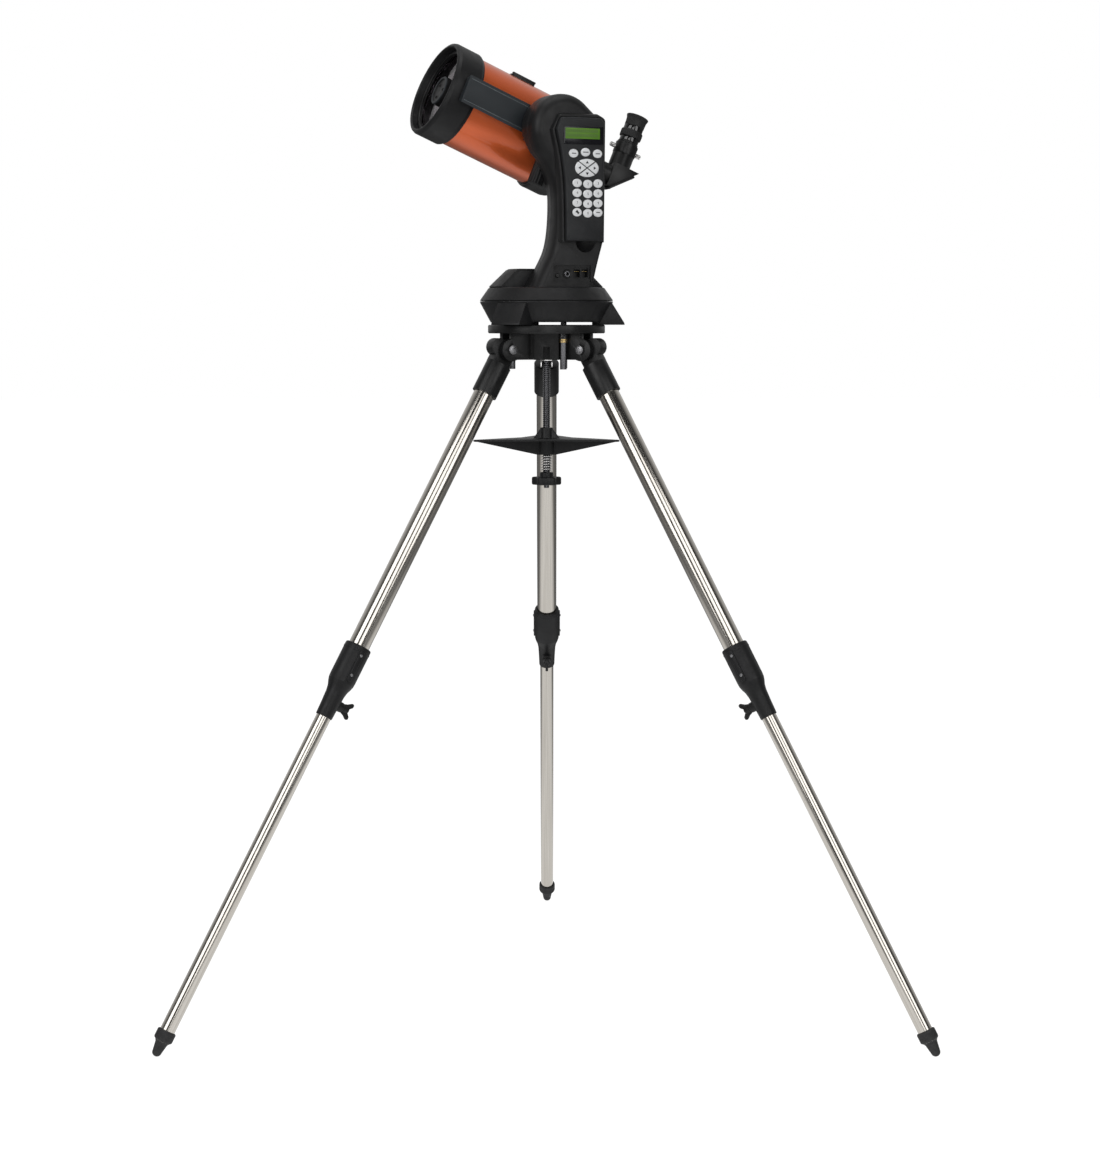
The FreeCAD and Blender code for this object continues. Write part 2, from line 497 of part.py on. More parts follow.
def arm_outer_shell():
    """Outer half of the arm: hand-control cradle, thumb scoop and connector panel."""
    slab = arm_slab(ARM_SEAM_Y, ARM_OUTER_Y, 5, 5)
    hollow = arm_slab(ARM_SEAM_Y - 1, ARM_OUTER_Y - WALL, 5, 5, inset=WALL)
    floor_y = HC_BACK_Y - 0.3
    backing = prism_y(hand_control_outline(2.0), floor_y - WALL, ARM_OUTER_Y - 1).common(slab)
    pocket = prism_y(hand_control_outline(HC_GAP), floor_y, ARM_OUTER_Y + 5)
    scoop = Part.makeSphere(19, V(-30, ARM_OUTER_Y + 9, 1179))
    scoop_wall = Part.makeSphere(21.5, V(-30, ARM_OUTER_Y + 9, 1179)).common(slab)
    panel_wall = box(-42, 26, 56, ARM_OUTER_Y - 1, 1118, 1147).common(slab)
    panel = box(-41, 23, ARM_OUTER_Y - 1.5, ARM_OUTER_Y + 5, 1120, 1145)
    jack = cyl(2.8, (-1.4, 62.5, 1132.5), (-1.4, 90, 1132.5))
    jack_mouth = cyl(4.5, (-1.4, ARM_OUTER_Y - 3, 1132.5), (-1.4, 90, 1132.5))
    button = cyl(3.4, (15.2, 50, 1130), (15.2, 90, 1130))
    sockets = [box(x - 5, x + 5, 60, 90, 1128, 1139) for x in (-18.0, -31.5)]
    body = fuse([slab.cut(hollow), backing, scoop_wall, panel_wall])
    return cut(body, [pocket, scoop, panel, jack, jack_mouth, button] + sockets)


def power_switch():
    """Push switch beside the power jack."""
    return fuse([cyl(3.0, (15.2, 66, 1130), (15.2, ARM_OUTER_Y + 1.2, 1130)),
                 cyl(5.0, (15.2, 52, 1130), (15.2, 55.6, 1130)), cyl(2.4, (15.2, 55, 1130), (15.2, 67, 1130))])


def altitude_pinion():
    """Pinion on the altitude motor, in mesh with the gear on the tube's shaft from below."""
    drop = (ALTITUDE_TEETH + PINION_TEETH) * GEAR_MODULE / 2
    phase = 90.0 + 180.0 / PINION_TEETH
    pinion = fuse([gear(PINION_TEETH, 1.5, phase), cyl(1.5, (0, 0, -5), (0, 0, GEAR_T))])
    # the gear stands on the XY plane: turn it so that it faces along +Y
    return moved(turned(pinion, (1, 0, 0), -90), (0, ALT_GEAR_Y, ALT_Z - drop))


# --- hand control --------------------------------------------------------------------------------
def key_shape(x, z, width, height, grow):
    """Oval key along Y: cap proud of the face, stem down into the body; grown, it is the well for that key."""
    ring = Part.Ellipse(V(0, 0, 0), width / 2 + grow, height / 2 + grow).toShape()
    face = Part.Face(Part.Wire(ring))
    face.rotate(V(0, 0, 0), V(1, 0, 0), 90)
    depth = KEY_DEPTH + (KEY_TRAVEL if grow else 0)
    face.translate(V(x, HC_FACE_Y - depth, z))
    return face.extrude(V(0, depth + KEY_PROUD, 0))


def number_keys():
    return Part.makeCompound([key_shape(x, z, KEY_W, KEY_H, 0) for z in NUMBER_ROWS for x in NUMBER_COLUMNS])


def menu_keys():
    return Part.makeCompound([key_shape(x, z, KEY_W, KEY_H, 0) for x, z in MENU_KEYS])


def pad_key(heading):
    """One quarter of the oval direction pad; heading is counted from the pad's right as the user sees it."""
    x, z = PAD_CENTRE
    pad = key_shape(x, z, PAD_W, PAD_H, 0)
    half = PAD_SLOT / 2
    slope = PAD_H / PAD_W
    reach = 60.0
    corners = {"up": [(0, half * 1.3), (-reach, half * 1.3 + reach * slope), (reach, half * 1.3 + reach * slope)],
               "down": [(0, -half * 1.3), (-reach, -half * 1.3 - reach * slope),
                        (reach, -half * 1.3 - reach * slope)],
               "left": [(half * 1.7, 0), (half * 1.7 + reach, reach * slope), (half * 1.7 + reach, -reach * slope)],
               "right": [(-half * 1.7, 0), (-half * 1.7 - reach, -reach * slope),
                         (-half * 1.7 - reach, reach * slope)]}
    wedge = prism_y([(x + dx, z + dz) for dx, dz in corners[heading]], HC_BACK_Y, HC_FACE_Y + 10)
    return pad.common(wedge)


def hand_control_window():
    x0, x1, z0, z1 = WINDOW
    return box(x0, x1, HC_FACE_Y - 2.0, HC_FACE_Y + 0.3, z0, z1)


def hand_control_shell():
    body = prism_y(hand_control_outline(0), HC_BACK_Y, HC_FACE_Y)
    hollow = prism_y(hand_control_outline(-2.5), HC_BACK_Y + 2.5, HC_FACE_Y - 2.5)
    holes = [key_shape(x, z, KEY_W, KEY_H, KEY_GAP) for z in NUMBER_ROWS for x in NUMBER_COLUMNS]
    holes += [key_shape(x, z, KEY_W, KEY_H, KEY_GAP) for x, z in MENU_KEYS]
    holes.append(key_shape(*PAD_CENTRE, PAD_W, PAD_H, KEY_GAP))
    return cut(body.cut(hollow), holes + [hand_control_window()])


# --- saddle and tube -----------------------------------------------------------------------------
def bar_section(grow, x0, x1):
    """The dovetail bar's trapezoid between two x planes, grown by a clearance."""
    inner, outer = TUBE_Y + BAR_IN - grow, TUBE_Y + BAR_OUT + grow
    w_in, w_out = BAR_W_IN / 2 + grow, BAR_W_OUT / 2 + grow
    profile = [(x0, inner, -w_in), (x0, inner, w_in), (x0, outer, w_out), (x0, outer, -w_out)]
    return face_of(profile).extrude(V(x1 - x0, 0, 0))


def saddle():
    """Clamp that holds the tube's bar, on the altitude shaft."""
    back = TUBE_Y + BAR_OUT + SADDLE_CLEAR
    plate = cyl(40, (0, back, 0), (0, ARM_INNER_Y - 0.6, 0))
    jaws = box(-33, 33, TUBE_Y + BAR_IN + 3, back + 1, -30, 30)
    shaft = cyl(SHAFT_R, (0, back + 1, 0), (0, ALT_GEAR_Y + GEAR_T + 4, 0))
    thread = cyl(3.0 + RUNNING, (-10, 8, -60), (-10, 8, -20))
    groove = bar_section(SADDLE_CLEAR, -60, 60)
    return cut(fuse([plate, jaws, shaft]), [groove, thread])


def saddle_knob():
    """Ribbed clamp knob under the saddle."""
    stem = cyl(3.0, (-10, 8, -48), (-10, 8, -BAR_W_IN / 2 - 2.5))
    grip = cyl(11.0, (-10, 8, -84), (-10, 8, -46))
    ribs = []
    for n in range(12):
        angle = math.radians(30 * n)
        at = (-10 + 11.0 * math.cos(angle), 8 + 11.0 * math.sin(angle))
        ribs.append(cyl(1.4, (*at, -82), (*at, -48)))
    return fuse([stem, grip] + ribs)


def altitude_gear():
    ring = gear(ALTITUDE_TEETH, SHAFT_R, ALTITUDE % (360.0 / ALTITUDE_TEETH) - 90.0)
    return moved(turned(ring, (1, 0, 0), -90), (0, ALT_GEAR_Y, 0))


def tube():
    return turned_x([(TUBE_BACK, TUBE_R - TUBE_WALL), (TUBE_BACK, TUBE_R), (TUBE_FRONT, TUBE_R),
                     (TUBE_FRONT, TUBE_R - TUBE_WALL)])


def front_cell():
    """Front casting: seat and retaining ring of the corrector, and a short shade."""
    b, f, c, t = FRONT_CELL_BACK, FRONT_FACE, CORRECTOR_X, CORRECTOR_T
    return turned_x([(b, TUBE_R), (b, CELL_R - 1.5), (b + 2.5, CELL_R), (f - 6, CELL_R), (f - 2, CELL_R - 1.5),
                     (f, CELL_R - 4.5), (f, 68.5), (f - 2, 67), (c + t + 3, 66), (c + t + 3, 60.5), (c + t, 60.5),
                     (c + t, CORRECTOR_R), (c, CORRECTOR_R), (c, 61), (c - 3, 61), (c - 3, 66),
                     (TUBE_FRONT, 66), (TUBE_FRONT, TUBE_R)])


def corrector():
    c, t = CORRECTOR_X, CORRECTOR_T
    return turned_x([(c, 20.5), (c, CORRECTOR_R), (c + t, CORRECTOR_R), (c + t, 20.5)])


def secondary_holder():
    """Holder in the middle of the corrector with the small convex mirror behind it."""
    c, t = CORRECTOR_X, CORRECTOR_T
    front = c + t
    holder = turned_x([(c - 16, 0), (c - 16, HOLDER_R), (c, HOLDER_R), (c, 20.5), (front, 20.5),
                       (front, HOLDER_R), (front + 5, HOLDER_R), (front + 7, HOLDER_R - 2), (front + 7, 0)])
    mirror = turned_x([(c - 19, 0), (c - 19, 17), (c - 16, 17), (c - 16, 0)])
    return Part.makeCompound([holder, mirror])


def rear_cell():
    """Rear casting: a deep cup behind the tube with the visual back's boss."""
    f, b = REAR_CELL_FRONT, REAR_FACE
    cup = turned_x([(f, TUBE_R), (f, CELL_R - 1.5), (f - 2.5, CELL_R), (b + 9, CELL_R), (b + 3, CELL_R - 3),
                    (b, CELL_R - 9), (b, 27), (VISUAL_FACE, 26), (VISUAL_FACE, BAFFLE_R), (b + 5, BAFFLE_R),
                    (b + 5, 68), (TUBE_BACK, 68), (TUBE_BACK, TUBE_R)])
    focus_hole = cyl(3.0 + RUNNING, (b - 1, TUBE_Y + FOCUS_Y, FOCUS_Z), (b + 6, TUBE_Y + FOCUS_Y, FOCUS_Z))
    return cup.cut(focus_hole)


def primary_mirror():
    bore = BAFFLE_R + RUNNING
    return turned_x([(MIRROR_X, bore), (MIRROR_X, MIRROR_R), (MIRROR_X + MIRROR_T, MIRROR_R),
                     (MIRROR_X + MIRROR_T - 3, bore)])


def baffle_tube():
    return turned_x([(VISUAL_FACE, BAFFLE_R - 2), (VISUAL_FACE, BAFFLE_R), (BAFFLE_FRONT, BAFFLE_R),
                     (BAFFLE_FRONT, BAFFLE_R - 2)])


def focus_knob():
    y, z = TUBE_Y + FOCUS_Y, FOCUS_Z
    stem = cyl(3.0, (REAR_FACE - 2, y, z), (REAR_FACE + 4, y, z))
    grip = fuse([cyl(FOCUS_R - 1, (REAR_FACE - 24, y, z), (REAR_FACE - 22.5, y, z)),
                 cyl(FOCUS_R, (REAR_FACE - 22.5, y, z), (REAR_FACE - 0.5, y, z))])
    grooves = []
    for n in range(16):
        angle = math.radians(22.5 * n)
        at = (y + (FOCUS_R + 0.4) * math.cos(angle), z + (FOCUS_R + 0.4) * math.sin(angle))
        grooves.append(cyl(1.2, (REAR_FACE - 21, *at), (REAR_FACE - 3, *at)))
    return cut(fuse([stem, grip]), grooves)


def dovetail_bar():
    """Long bar along the tube's arm side, standing on both cells."""
    bar = bar_section(0, BAR_BACK, BAR_FRONT)
    feet = [box(x0, x1, TUBE_Y + 60, TUBE_Y + BAR_IN + 1, -16, 16)
            for x0, x1 in ((FRONT_CELL_BACK + 3, BAR_FRONT - 2), (BAR_BACK + 3, REAR_CELL_FRONT - 4))]
    cells = cyl(CELL_R, (BAR_BACK - 5, TUBE_Y, 0), (BAR_FRONT + 5, TUBE_Y, 0))
    return fuse([bar] + feet).cut(cells)


def finder_rail():
    """Short dovetail shoe for a finder, on top of the tube."""
    profile = [(TUBE_Y - 17, 60), (TUBE_Y + 17, 60), (TUBE_Y + 17, 77), (TUBE_Y + 12, 77), (TUBE_Y + 15, 73),
               (TUBE_Y - 15, 73), (TUBE_Y - 12, 77), (TUBE_Y - 17, 77)]
    shoe = face_of([(20, y, z) for y, z in profile]).extrude(V(47, 0, 0))
    return shoe.cut(cyl(TUBE_R, (0, TUBE_Y, 0), (90, TUBE_Y, 0)))


def visual_back():
    """Threaded adapter that takes 1.25-inch accessories."""
    v = VISUAL_FACE
    return turned_x([(v, BARREL_BORE_R), (v, 22), (v - 12, 22), (v - 14, 20), (v - 26, 20), (v - 26, BARREL_BORE_R)])


def diagonal():
    """Right-angle mirror housing with its nosepiece and eyepiece holder, and the mirror in it."""
    y, half = TUBE_Y, 19.0
    nose = cyl(BARREL_R, (VISUAL_FACE - 3, y, 0), (VISUAL_FACE - 28, y, 0))
    throat = cyl(17.5, (VISUAL_FACE - 27, y, 0), (EYE_X + 14, y, 0))
    mirror_plane = EYE_X - 9.0        # x + z on the housing's slanted back
    body = prism_y([(EYE_X + 16, -19), (EYE_X + 16, 20), (mirror_plane - 20, 20), (mirror_plane + 19, -19)],
                   y - half, y + half)
    holder = cyl(17.5, (EYE_X, y, 18), (EYE_X, y, HOLDER_TOP))
    light = [cyl(13.5, (VISUAL_FACE, y, 0), (EYE_X, y, 0)), cyl(13.5, (EYE_X, y, 0), (EYE_X, y, HOLDER_TOP + 1)),
             Part.makeSphere(13.5, V(EYE_X, y, 0)),
             cyl(BARREL_BORE_R, (EYE_X, y, 30), (EYE_X, y, HOLDER_TOP + 1))]
    mirror = box(-21, 21, y - 15, y + 15, -2, 0)
    mirror = moved(turned(mirror, (0, 1, 0), 45), (EYE_X - 1.5, 0, -1.5))
    behind = box(-90, 90, y - 30, y + 30, 0, 150)
    behind = moved(turned(behind, (0, 1, 0), 45), (EYE_X - 1.5, 0, -1.5))
    threads = [cyl(2.0 + RUNNING, (EYE_X + a, y, SCREW_Z), (EYE_X + b, y, SCREW_Z)) for a, b in ((14, 24), (-14, -24))]
    light_path = fuse(light).common(behind)
    housing = cut(fuse([nose, throat, body, holder]), [light_path, mirror] + threads)
    return Part.makeCompound([housing, mirror])


def thumbscrew(side):
    """Small clamp screw on one side of the eyepiece holder; side is +1 in front and -1 behind."""
    x, y, z = EYE_X, TUBE_Y, SCREW_Z
    stem = cyl(2.0, (x + side * (BARREL_BORE_R + 0.9), y, z), (x + side * 22, y, z))
    head = cyl(THUMB_HEAD_R, (x + side * 20, y, z), (x + side * 28, y, z))
    return fuse([stem, head])


def eyepiece():
    """1.25-inch eyepiece: barrel, grooved body and a flared rubber eyecup."""
    h, top = HOLDER_TOP + 0.2, EYE_TOP
    body = turned_z([(0, 34), (BARREL_R, 34), (BARREL_R, h), (16.5, h), (16.5, h + 2), (15.5, h + 3), (15.5, h + 9),
                     (16.5, h + 10), (17.5, h + 12), (17.5, h + 21), (16, h + 22), (16, h + 30), (17, h + 31),
                     (18, top - 1), (17, top), (13.5, top), (11, top - 5), (0, top - 5)])
    field = cyl(12, (0, 0, 33), (0, 0, 50))
    return moved(body.cut(field), (EYE_X, TUBE_Y, 0))


# --- the row -------------------------------------------------------------------------------------
def sub_parts():
    """Node name and shape of every sub-part, in the row's frame."""
    fixed = {"tripod_head": tripod_head(), "head_bolts": head_bolts(), "center_rod": center_rod(),
             "spreader_tray": spreader_tray(), "tray_spring": tray_spring(), "tension_knob": tension_knob(),
             "base_bottom": base_bottom(), "azimuth_gear": azimuth_gear()}
    leg = {"yoke": leg_yoke(), "upper_tube": leg_upper_tube(), "collar": leg_collar(),
           "lock_screw": leg_lock_screw(), "lower_tube": leg_lower_tube(), "foot": leg_foot()}
    on_mount = {"base_housing": base_housing(), "battery_cover": battery_cover(), "azimuth_pinion": azimuth_pinion(),
                "drive_motors": drive_motors(), "arm_inner_shell": arm_inner_shell(),
                "arm_outer_shell": arm_outer_shell(), "altitude_pinion": altitude_pinion(),
                "power_switch": power_switch(), "hand_control_shell": hand_control_shell(),
                "hand_control_window": hand_control_window(), "menu_keys": menu_keys(),
                "number_keys": number_keys()}
    for heading in ("up", "down", "left", "right"):
        on_mount["key_" + heading] = pad_key(heading)
    on_tube = {"saddle": saddle(), "saddle_knob": saddle_knob(), "altitude_gear": altitude_gear(), "tube": tube(),
               "front_cell": front_cell(), "corrector": corrector(), "secondary_holder": secondary_holder(),
               "rear_cell": rear_cell(), "primary_mirror": primary_mirror(), "baffle_tube": baffle_tube(),
               "focus_knob": focus_knob(), "dovetail_bar": dovetail_bar(), "finder_rail": finder_rail(),
               "visual_back": visual_back(), "diagonal": diagonal(), "thumbscrew_front": thumbscrew(1),
               "thumbscrew_back": thumbscrew(-1), "eyepiece": eyepiece()}
    row = dict(fixed)
    for side, heading in LEG_HEADINGS.items():
        for name, shape in leg.items():
            row[f"leg_{side}_{name}"] = in_leg_frame(shape, heading)
    row.update({name: in_mount_frame(shape) for name, shape in on_mount.items()})
    row.update({name: in_tube_frame(shape) for name, shape in on_tube.items()})
    return row


os.makedirs("parts", exist_ok=True)
for node, solid in sub_parts().items():
    solid.exportStep(f"parts/{node}.step")
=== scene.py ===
"""Schmidt-Cassegrain telescope on its mount and tripod: the visual model, the studio and the camera.

Pieces are drawn in millimetres in the frame of what carries them and placed in metres in the row's frame:
the mount frame (azimuth axis on Z, tube pointing along +X, arm on +Y), the tube frame (altitude axis through
the origin, light enters along -X), the optical frame (its Z along the optical axis) and one frame per leg
(pivot at the origin, leg along -Z, outward +X).
"""
import json
import math

import bmesh
import bpy
from mathutils import Matrix, Vector

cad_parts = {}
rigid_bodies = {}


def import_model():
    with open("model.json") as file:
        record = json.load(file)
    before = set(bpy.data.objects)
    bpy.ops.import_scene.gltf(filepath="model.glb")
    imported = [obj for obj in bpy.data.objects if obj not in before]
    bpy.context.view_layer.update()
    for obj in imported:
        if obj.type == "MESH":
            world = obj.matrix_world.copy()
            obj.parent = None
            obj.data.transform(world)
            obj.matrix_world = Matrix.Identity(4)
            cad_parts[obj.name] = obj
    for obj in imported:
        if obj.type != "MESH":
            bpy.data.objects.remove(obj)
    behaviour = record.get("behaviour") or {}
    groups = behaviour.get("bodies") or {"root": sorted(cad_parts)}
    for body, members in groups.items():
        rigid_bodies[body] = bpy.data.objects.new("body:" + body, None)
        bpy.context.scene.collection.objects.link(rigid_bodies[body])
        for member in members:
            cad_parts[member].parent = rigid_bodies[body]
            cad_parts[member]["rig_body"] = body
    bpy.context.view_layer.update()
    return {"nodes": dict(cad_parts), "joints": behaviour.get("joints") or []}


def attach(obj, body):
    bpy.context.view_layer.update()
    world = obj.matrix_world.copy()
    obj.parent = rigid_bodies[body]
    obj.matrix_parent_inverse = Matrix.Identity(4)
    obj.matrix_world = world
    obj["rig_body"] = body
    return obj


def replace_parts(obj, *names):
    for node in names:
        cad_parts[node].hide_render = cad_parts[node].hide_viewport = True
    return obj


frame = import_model()
JOINTS = {joint["name"]: joint for joint in frame["joints"]}
MM = 0.001


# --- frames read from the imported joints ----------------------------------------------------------
def frame_from(origin, x, y, z):
    """Matrix from local millimetres to the row's metres."""
    columns = Matrix((x, y, z)).transposed().to_4x4()
    return Matrix.Translation(origin) @ columns @ Matrix.Scale(MM, 4)


def joint_axis(name):
    return Vector(JOINTS[name]["axis"]).normalized()


def joint_point(name):
    return Vector(JOINTS[name]["pos_m"])


UP = Vector((0, 0, 1))
ARM_OUT = joint_axis("hand_control_lift")
MOUNT = frame_from(Vector((0, 0, 0)), ARM_OUT.cross(UP), ARM_OUT, UP)
POINTING = joint_axis("tube_slide")
TUBE_UP = joint_axis("eyepiece_slide")
ALTITUDE_POINT = joint_point("altitude")
TUBE = frame_from(ALTITUDE_POINT, POINTING, ARM_OUT, TUBE_UP)
ALT_HEIGHT = ALTITUDE_POINT.z / MM
ARM_FOOT = 1112.8
TUBE_SIDE = -73.0
EYE_X = -164.0
CELL_R = 74.9
SKIN_R = 70.25
BARREL_R = 15.875
CRADLE_GAP = 1.4
OUTSIDE = 90
JACK_X, JACK_Z = -1.4, 1132.5
SWITCH_X, SWITCH_Z = 15.2, 1130.0
SOCKETS_X = (-18.0, -31.5)
OPTICAL = frame_from(ALTITUDE_POINT + ARM_OUT * TUBE_SIDE * MM, TUBE_UP, ARM_OUT.copy() * -1, POINTING)
ROW = Matrix.Scale(MM, 4)
LOCAL = Matrix.Identity(4)
ALONG_Y = (0, 1, 0)
SIDES = ("left", "right", "rear")


def leg_frame(side):
    z = joint_axis(f"leg_{side}_extend")
    y = joint_axis(f"leg_{side}_fold")
    return frame_from(joint_point(f"leg_{side}_fold"), y.cross(z), y, z)


def axis_along(matrix, origin, direction):
    """Frame whose Z runs along a local direction from a local point."""
    turn = Vector((0, 0, 1)).rotation_difference(Vector(direction)).to_matrix().to_4x4()
    return matrix @ Matrix.Translation(Vector(origin)) @ turn


# --- mesh tools ----------------------------------------------------------------------------------
def mesh_object(name, bm, matrix, body, material, sharp=35.0):
    """Finishes a bmesh drawn in local millimetres as a piece that rides on a body."""
    bmesh.ops.recalc_face_normals(bm, faces=bm.faces)
    bm.transform(matrix)
    if matrix.to_3x3().determinant() < 0:
        bmesh.ops.reverse_faces(bm, faces=bm.faces)
    mesh = bpy.data.meshes.new(name)
    for face in bm.faces:
        face.smooth = True
    limit = math.radians(sharp)
    for edge in bm.edges:
        edge.smooth = len(edge.link_faces) != 2 or edge.calc_face_angle(0.0) < limit
    bm.to_mesh(mesh)
    bm.free()
    piece = bpy.data.objects.new(name, mesh)
    bpy.context.scene.collection.objects.link(piece)
    piece.data.materials.append(material)
    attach(piece, body)
    return piece


def swapped(node, *details, **more):
    """A piece, given as for mesh_object, that replaces a CAD node."""
    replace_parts(mesh_object(*details, **more), node)


def rectangle(x0, x1, y0, y1):
    return [(x0, y0), (x1, y0), (x1, y1), (x0, y1)]


def polar(radius, angle, height):
    return radius * math.cos(angle), radius * math.sin(angle), height


def spread(count, start, radius, height):
    """Local places evenly spread on a circle about Z, from a start angle in degrees."""
    angles = [math.radians(360 / count * n + start) for n in range(count)]
    return [Matrix.Translation(polar(radius, angle, height)) for angle in angles]


def rounded(profile, radius, closed=True, steps=4):
    """The outline with each corner rounded by up to a radius; points are 2D."""
    points = [Vector(p) for p in profile]
    count = len(points)
    out = []
    for i, corner in enumerate(points):
        if not closed and i in (0, count - 1):
            out.append(tuple(corner))
            continue
        back, ahead = points[i - 1] - corner, points[(i + 1) % count] - corner
        turn = math.pi - back.angle(ahead, math.pi)
        if turn < math.radians(12):
            out.append(tuple(corner))
            continue
        half = turn / 2
        reach = min(radius * math.tan(half), 0.45 * back.length, 0.45 * ahead.length)
        start, end = corner + back.normalized() * reach, corner + ahead.normalized() * reach
        for k in range(steps + 1):
            t = k / steps
            out.append(tuple(start * (1 - t) ** 2 + corner * 2 * t * (1 - t) + end * t * t))
    return out


def lathe(profile, segments=96, soft=0.6, closed=True):
    """bmesh turned about Z from (radius, height) points; corners are rounded by soft."""
    if soft:
        profile = rounded(profile, soft, closed)
    bm = bmesh.new()
    rings = []
    for r, z in profile:
        if r < 1e-6:
            rings.append([bm.verts.new((0, 0, z))])
            continue
        rings.append([bm.verts.new(polar(r, 2 * math.pi * i / segments, z)) for i in range(segments)])
    pairs = zip(rings, rings[1:] + rings[:1] if closed else rings[1:])
    for low, high in pairs:
        for i in range(segments):
            j = (i + 1) % segments
            loop = [low[i % len(low)], low[j % len(low)], high[j % len(high)], high[i % len(high)]]
            unique = list(dict.fromkeys(loop))
            if len(unique) > 2:
                bm.faces.new(unique)
    return bm


def prism(outline, low, high, bevel=0.5, steps=2):
    """bmesh of a flat outline of (x, y) points raised from low to high along Z, with softened rims."""
    bm = bmesh.new()
    base = bm.faces.new([bm.verts.new((x, y, low)) for x, y in outline])
    top = bmesh.ops.extrude_face_region(bm, geom=[base])
    raised = [v for v in top["geom"] if isinstance(v, bmesh.types.BMVert)]
    bmesh.ops.translate(bm, vec=(0, 0, high - low), verts=raised)
    bmesh.ops.recalc_face_normals(bm, faces=bm.faces)
    if bevel:
        rims = [e for e in bm.edges if abs(e.verts[0].co.z - e.verts[1].co.z) < 1e-6]
        bmesh.ops.bevel(bm, geom=rims, offset=bevel, segments=steps, profile=0.5, affect="EDGES")
    return bm


def joined(parts):
    """One bmesh from several, each given with a local matrix or alone."""
    whole = bmesh.new()
    for part in parts:
        bm, matrix = part if isinstance(part, tuple) else (part, LOCAL)
        bm.transform(matrix)
        temporary = bpy.data.meshes.new("temporary")
        bm.to_mesh(temporary)
        bm.free()
        whole.from_mesh(temporary)
        bpy.data.meshes.remove(temporary)
    return whole


def loft(rings, capped=True):
    """bmesh through closed rings of equally many 3D points."""
    bm = bmesh.new()
    rows = [[bm.verts.new(p) for p in ring] for ring in rings]
    count = len(rows[0])
    for low, high in zip(rows, rows[1:]):
        for i in range(count):
            j = (i + 1) % count
            bm.faces.new([low[i], low[j], high[j], high[i]])
    if capped:
        bm.faces.new(rows[0])
        bm.faces.new(rows[-1])
    return bm


def to_object(bm, name="cutter"):
    """Loose object from a bmesh in local units, for boolean work."""
    bmesh.ops.recalc_face_normals(bm, faces=bm.faces)
    mesh = bpy.data.meshes.new(name)
    bm.to_mesh(mesh)
    bm.free()
    thing = bpy.data.objects.new(name, mesh)
    bpy.context.scene.collection.objects.link(thing)
    return thing


def carved(body, cutters, operation="DIFFERENCE"):
    """bmesh of the body after a boolean with each cutter, all in the same local units."""
    base = to_object(body, "carved")
    tools = [to_object(cutter) for cutter in cutters]
    for tool in tools:
        modifier = base.modifiers.new("cut", "BOOLEAN")
        modifier.operation = operation
        modifier.solver = "EXACT"
        modifier.object = tool
    bpy.context.view_layer.update()
    result = base.evaluated_get(bpy.context.evaluated_depsgraph_get()).to_mesh()
    bm = bmesh.new()
    bm.from_mesh(result)
    for thing in [base] + tools:
        mesh = thing.data
        bpy.data.objects.remove(thing)
        bpy.data.meshes.remove(mesh)
    bmesh.ops.dissolve_degenerate(bm, dist=1e-4, edges=bm.edges)
    return bm


def tube_along(points, radius, sides):
    """bmesh of a round wire through 3D points."""
    points = [Vector(p) for p in points]
    rings, normal = [], None
    for i, point in enumerate(points):
        ahead = points[min(i + 1, len(points) - 1)] - points[max(i - 1, 0)]
        ahead.normalize()
        if normal is None:
            normal = ahead.orthogonal().normalized()
        normal = (normal - ahead * normal.dot(ahead)).normalized()
        other = ahead.cross(normal)
        rings.append([point + (normal * math.cos(a) + other * math.sin(a)) * radius
                      for a in (2 * math.pi * k / sides for k in range(sides))])
    return loft(rings)


def softened(node, name, material, bevel, angle=28.0, segments=2):
    """Copy of a CAD node with its faces merged and its edges rounded, which replaces the node."""
    mesh = frame["nodes"][node].data
    bm = bmesh.new()
    bm.from_mesh(mesh)
    bmesh.ops.remove_doubles(bm, verts=bm.verts, dist=2e-6)
    bmesh.ops.dissolve_limit(bm, angle_limit=math.radians(1.0), verts=bm.verts, edges=bm.edges)
    edges = [e for e in bm.edges if len(e.link_faces) == 2 and e.calc_face_angle(0.0) > math.radians(angle)]
    bmesh.ops.bevel(bm, geom=edges, offset=bevel * MM, segments=segments, profile=0.5, affect="EDGES",
                    clamp_overlap=True)
    swapped(node, name, bm, LOCAL, frame["nodes"][node]["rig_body"], material)


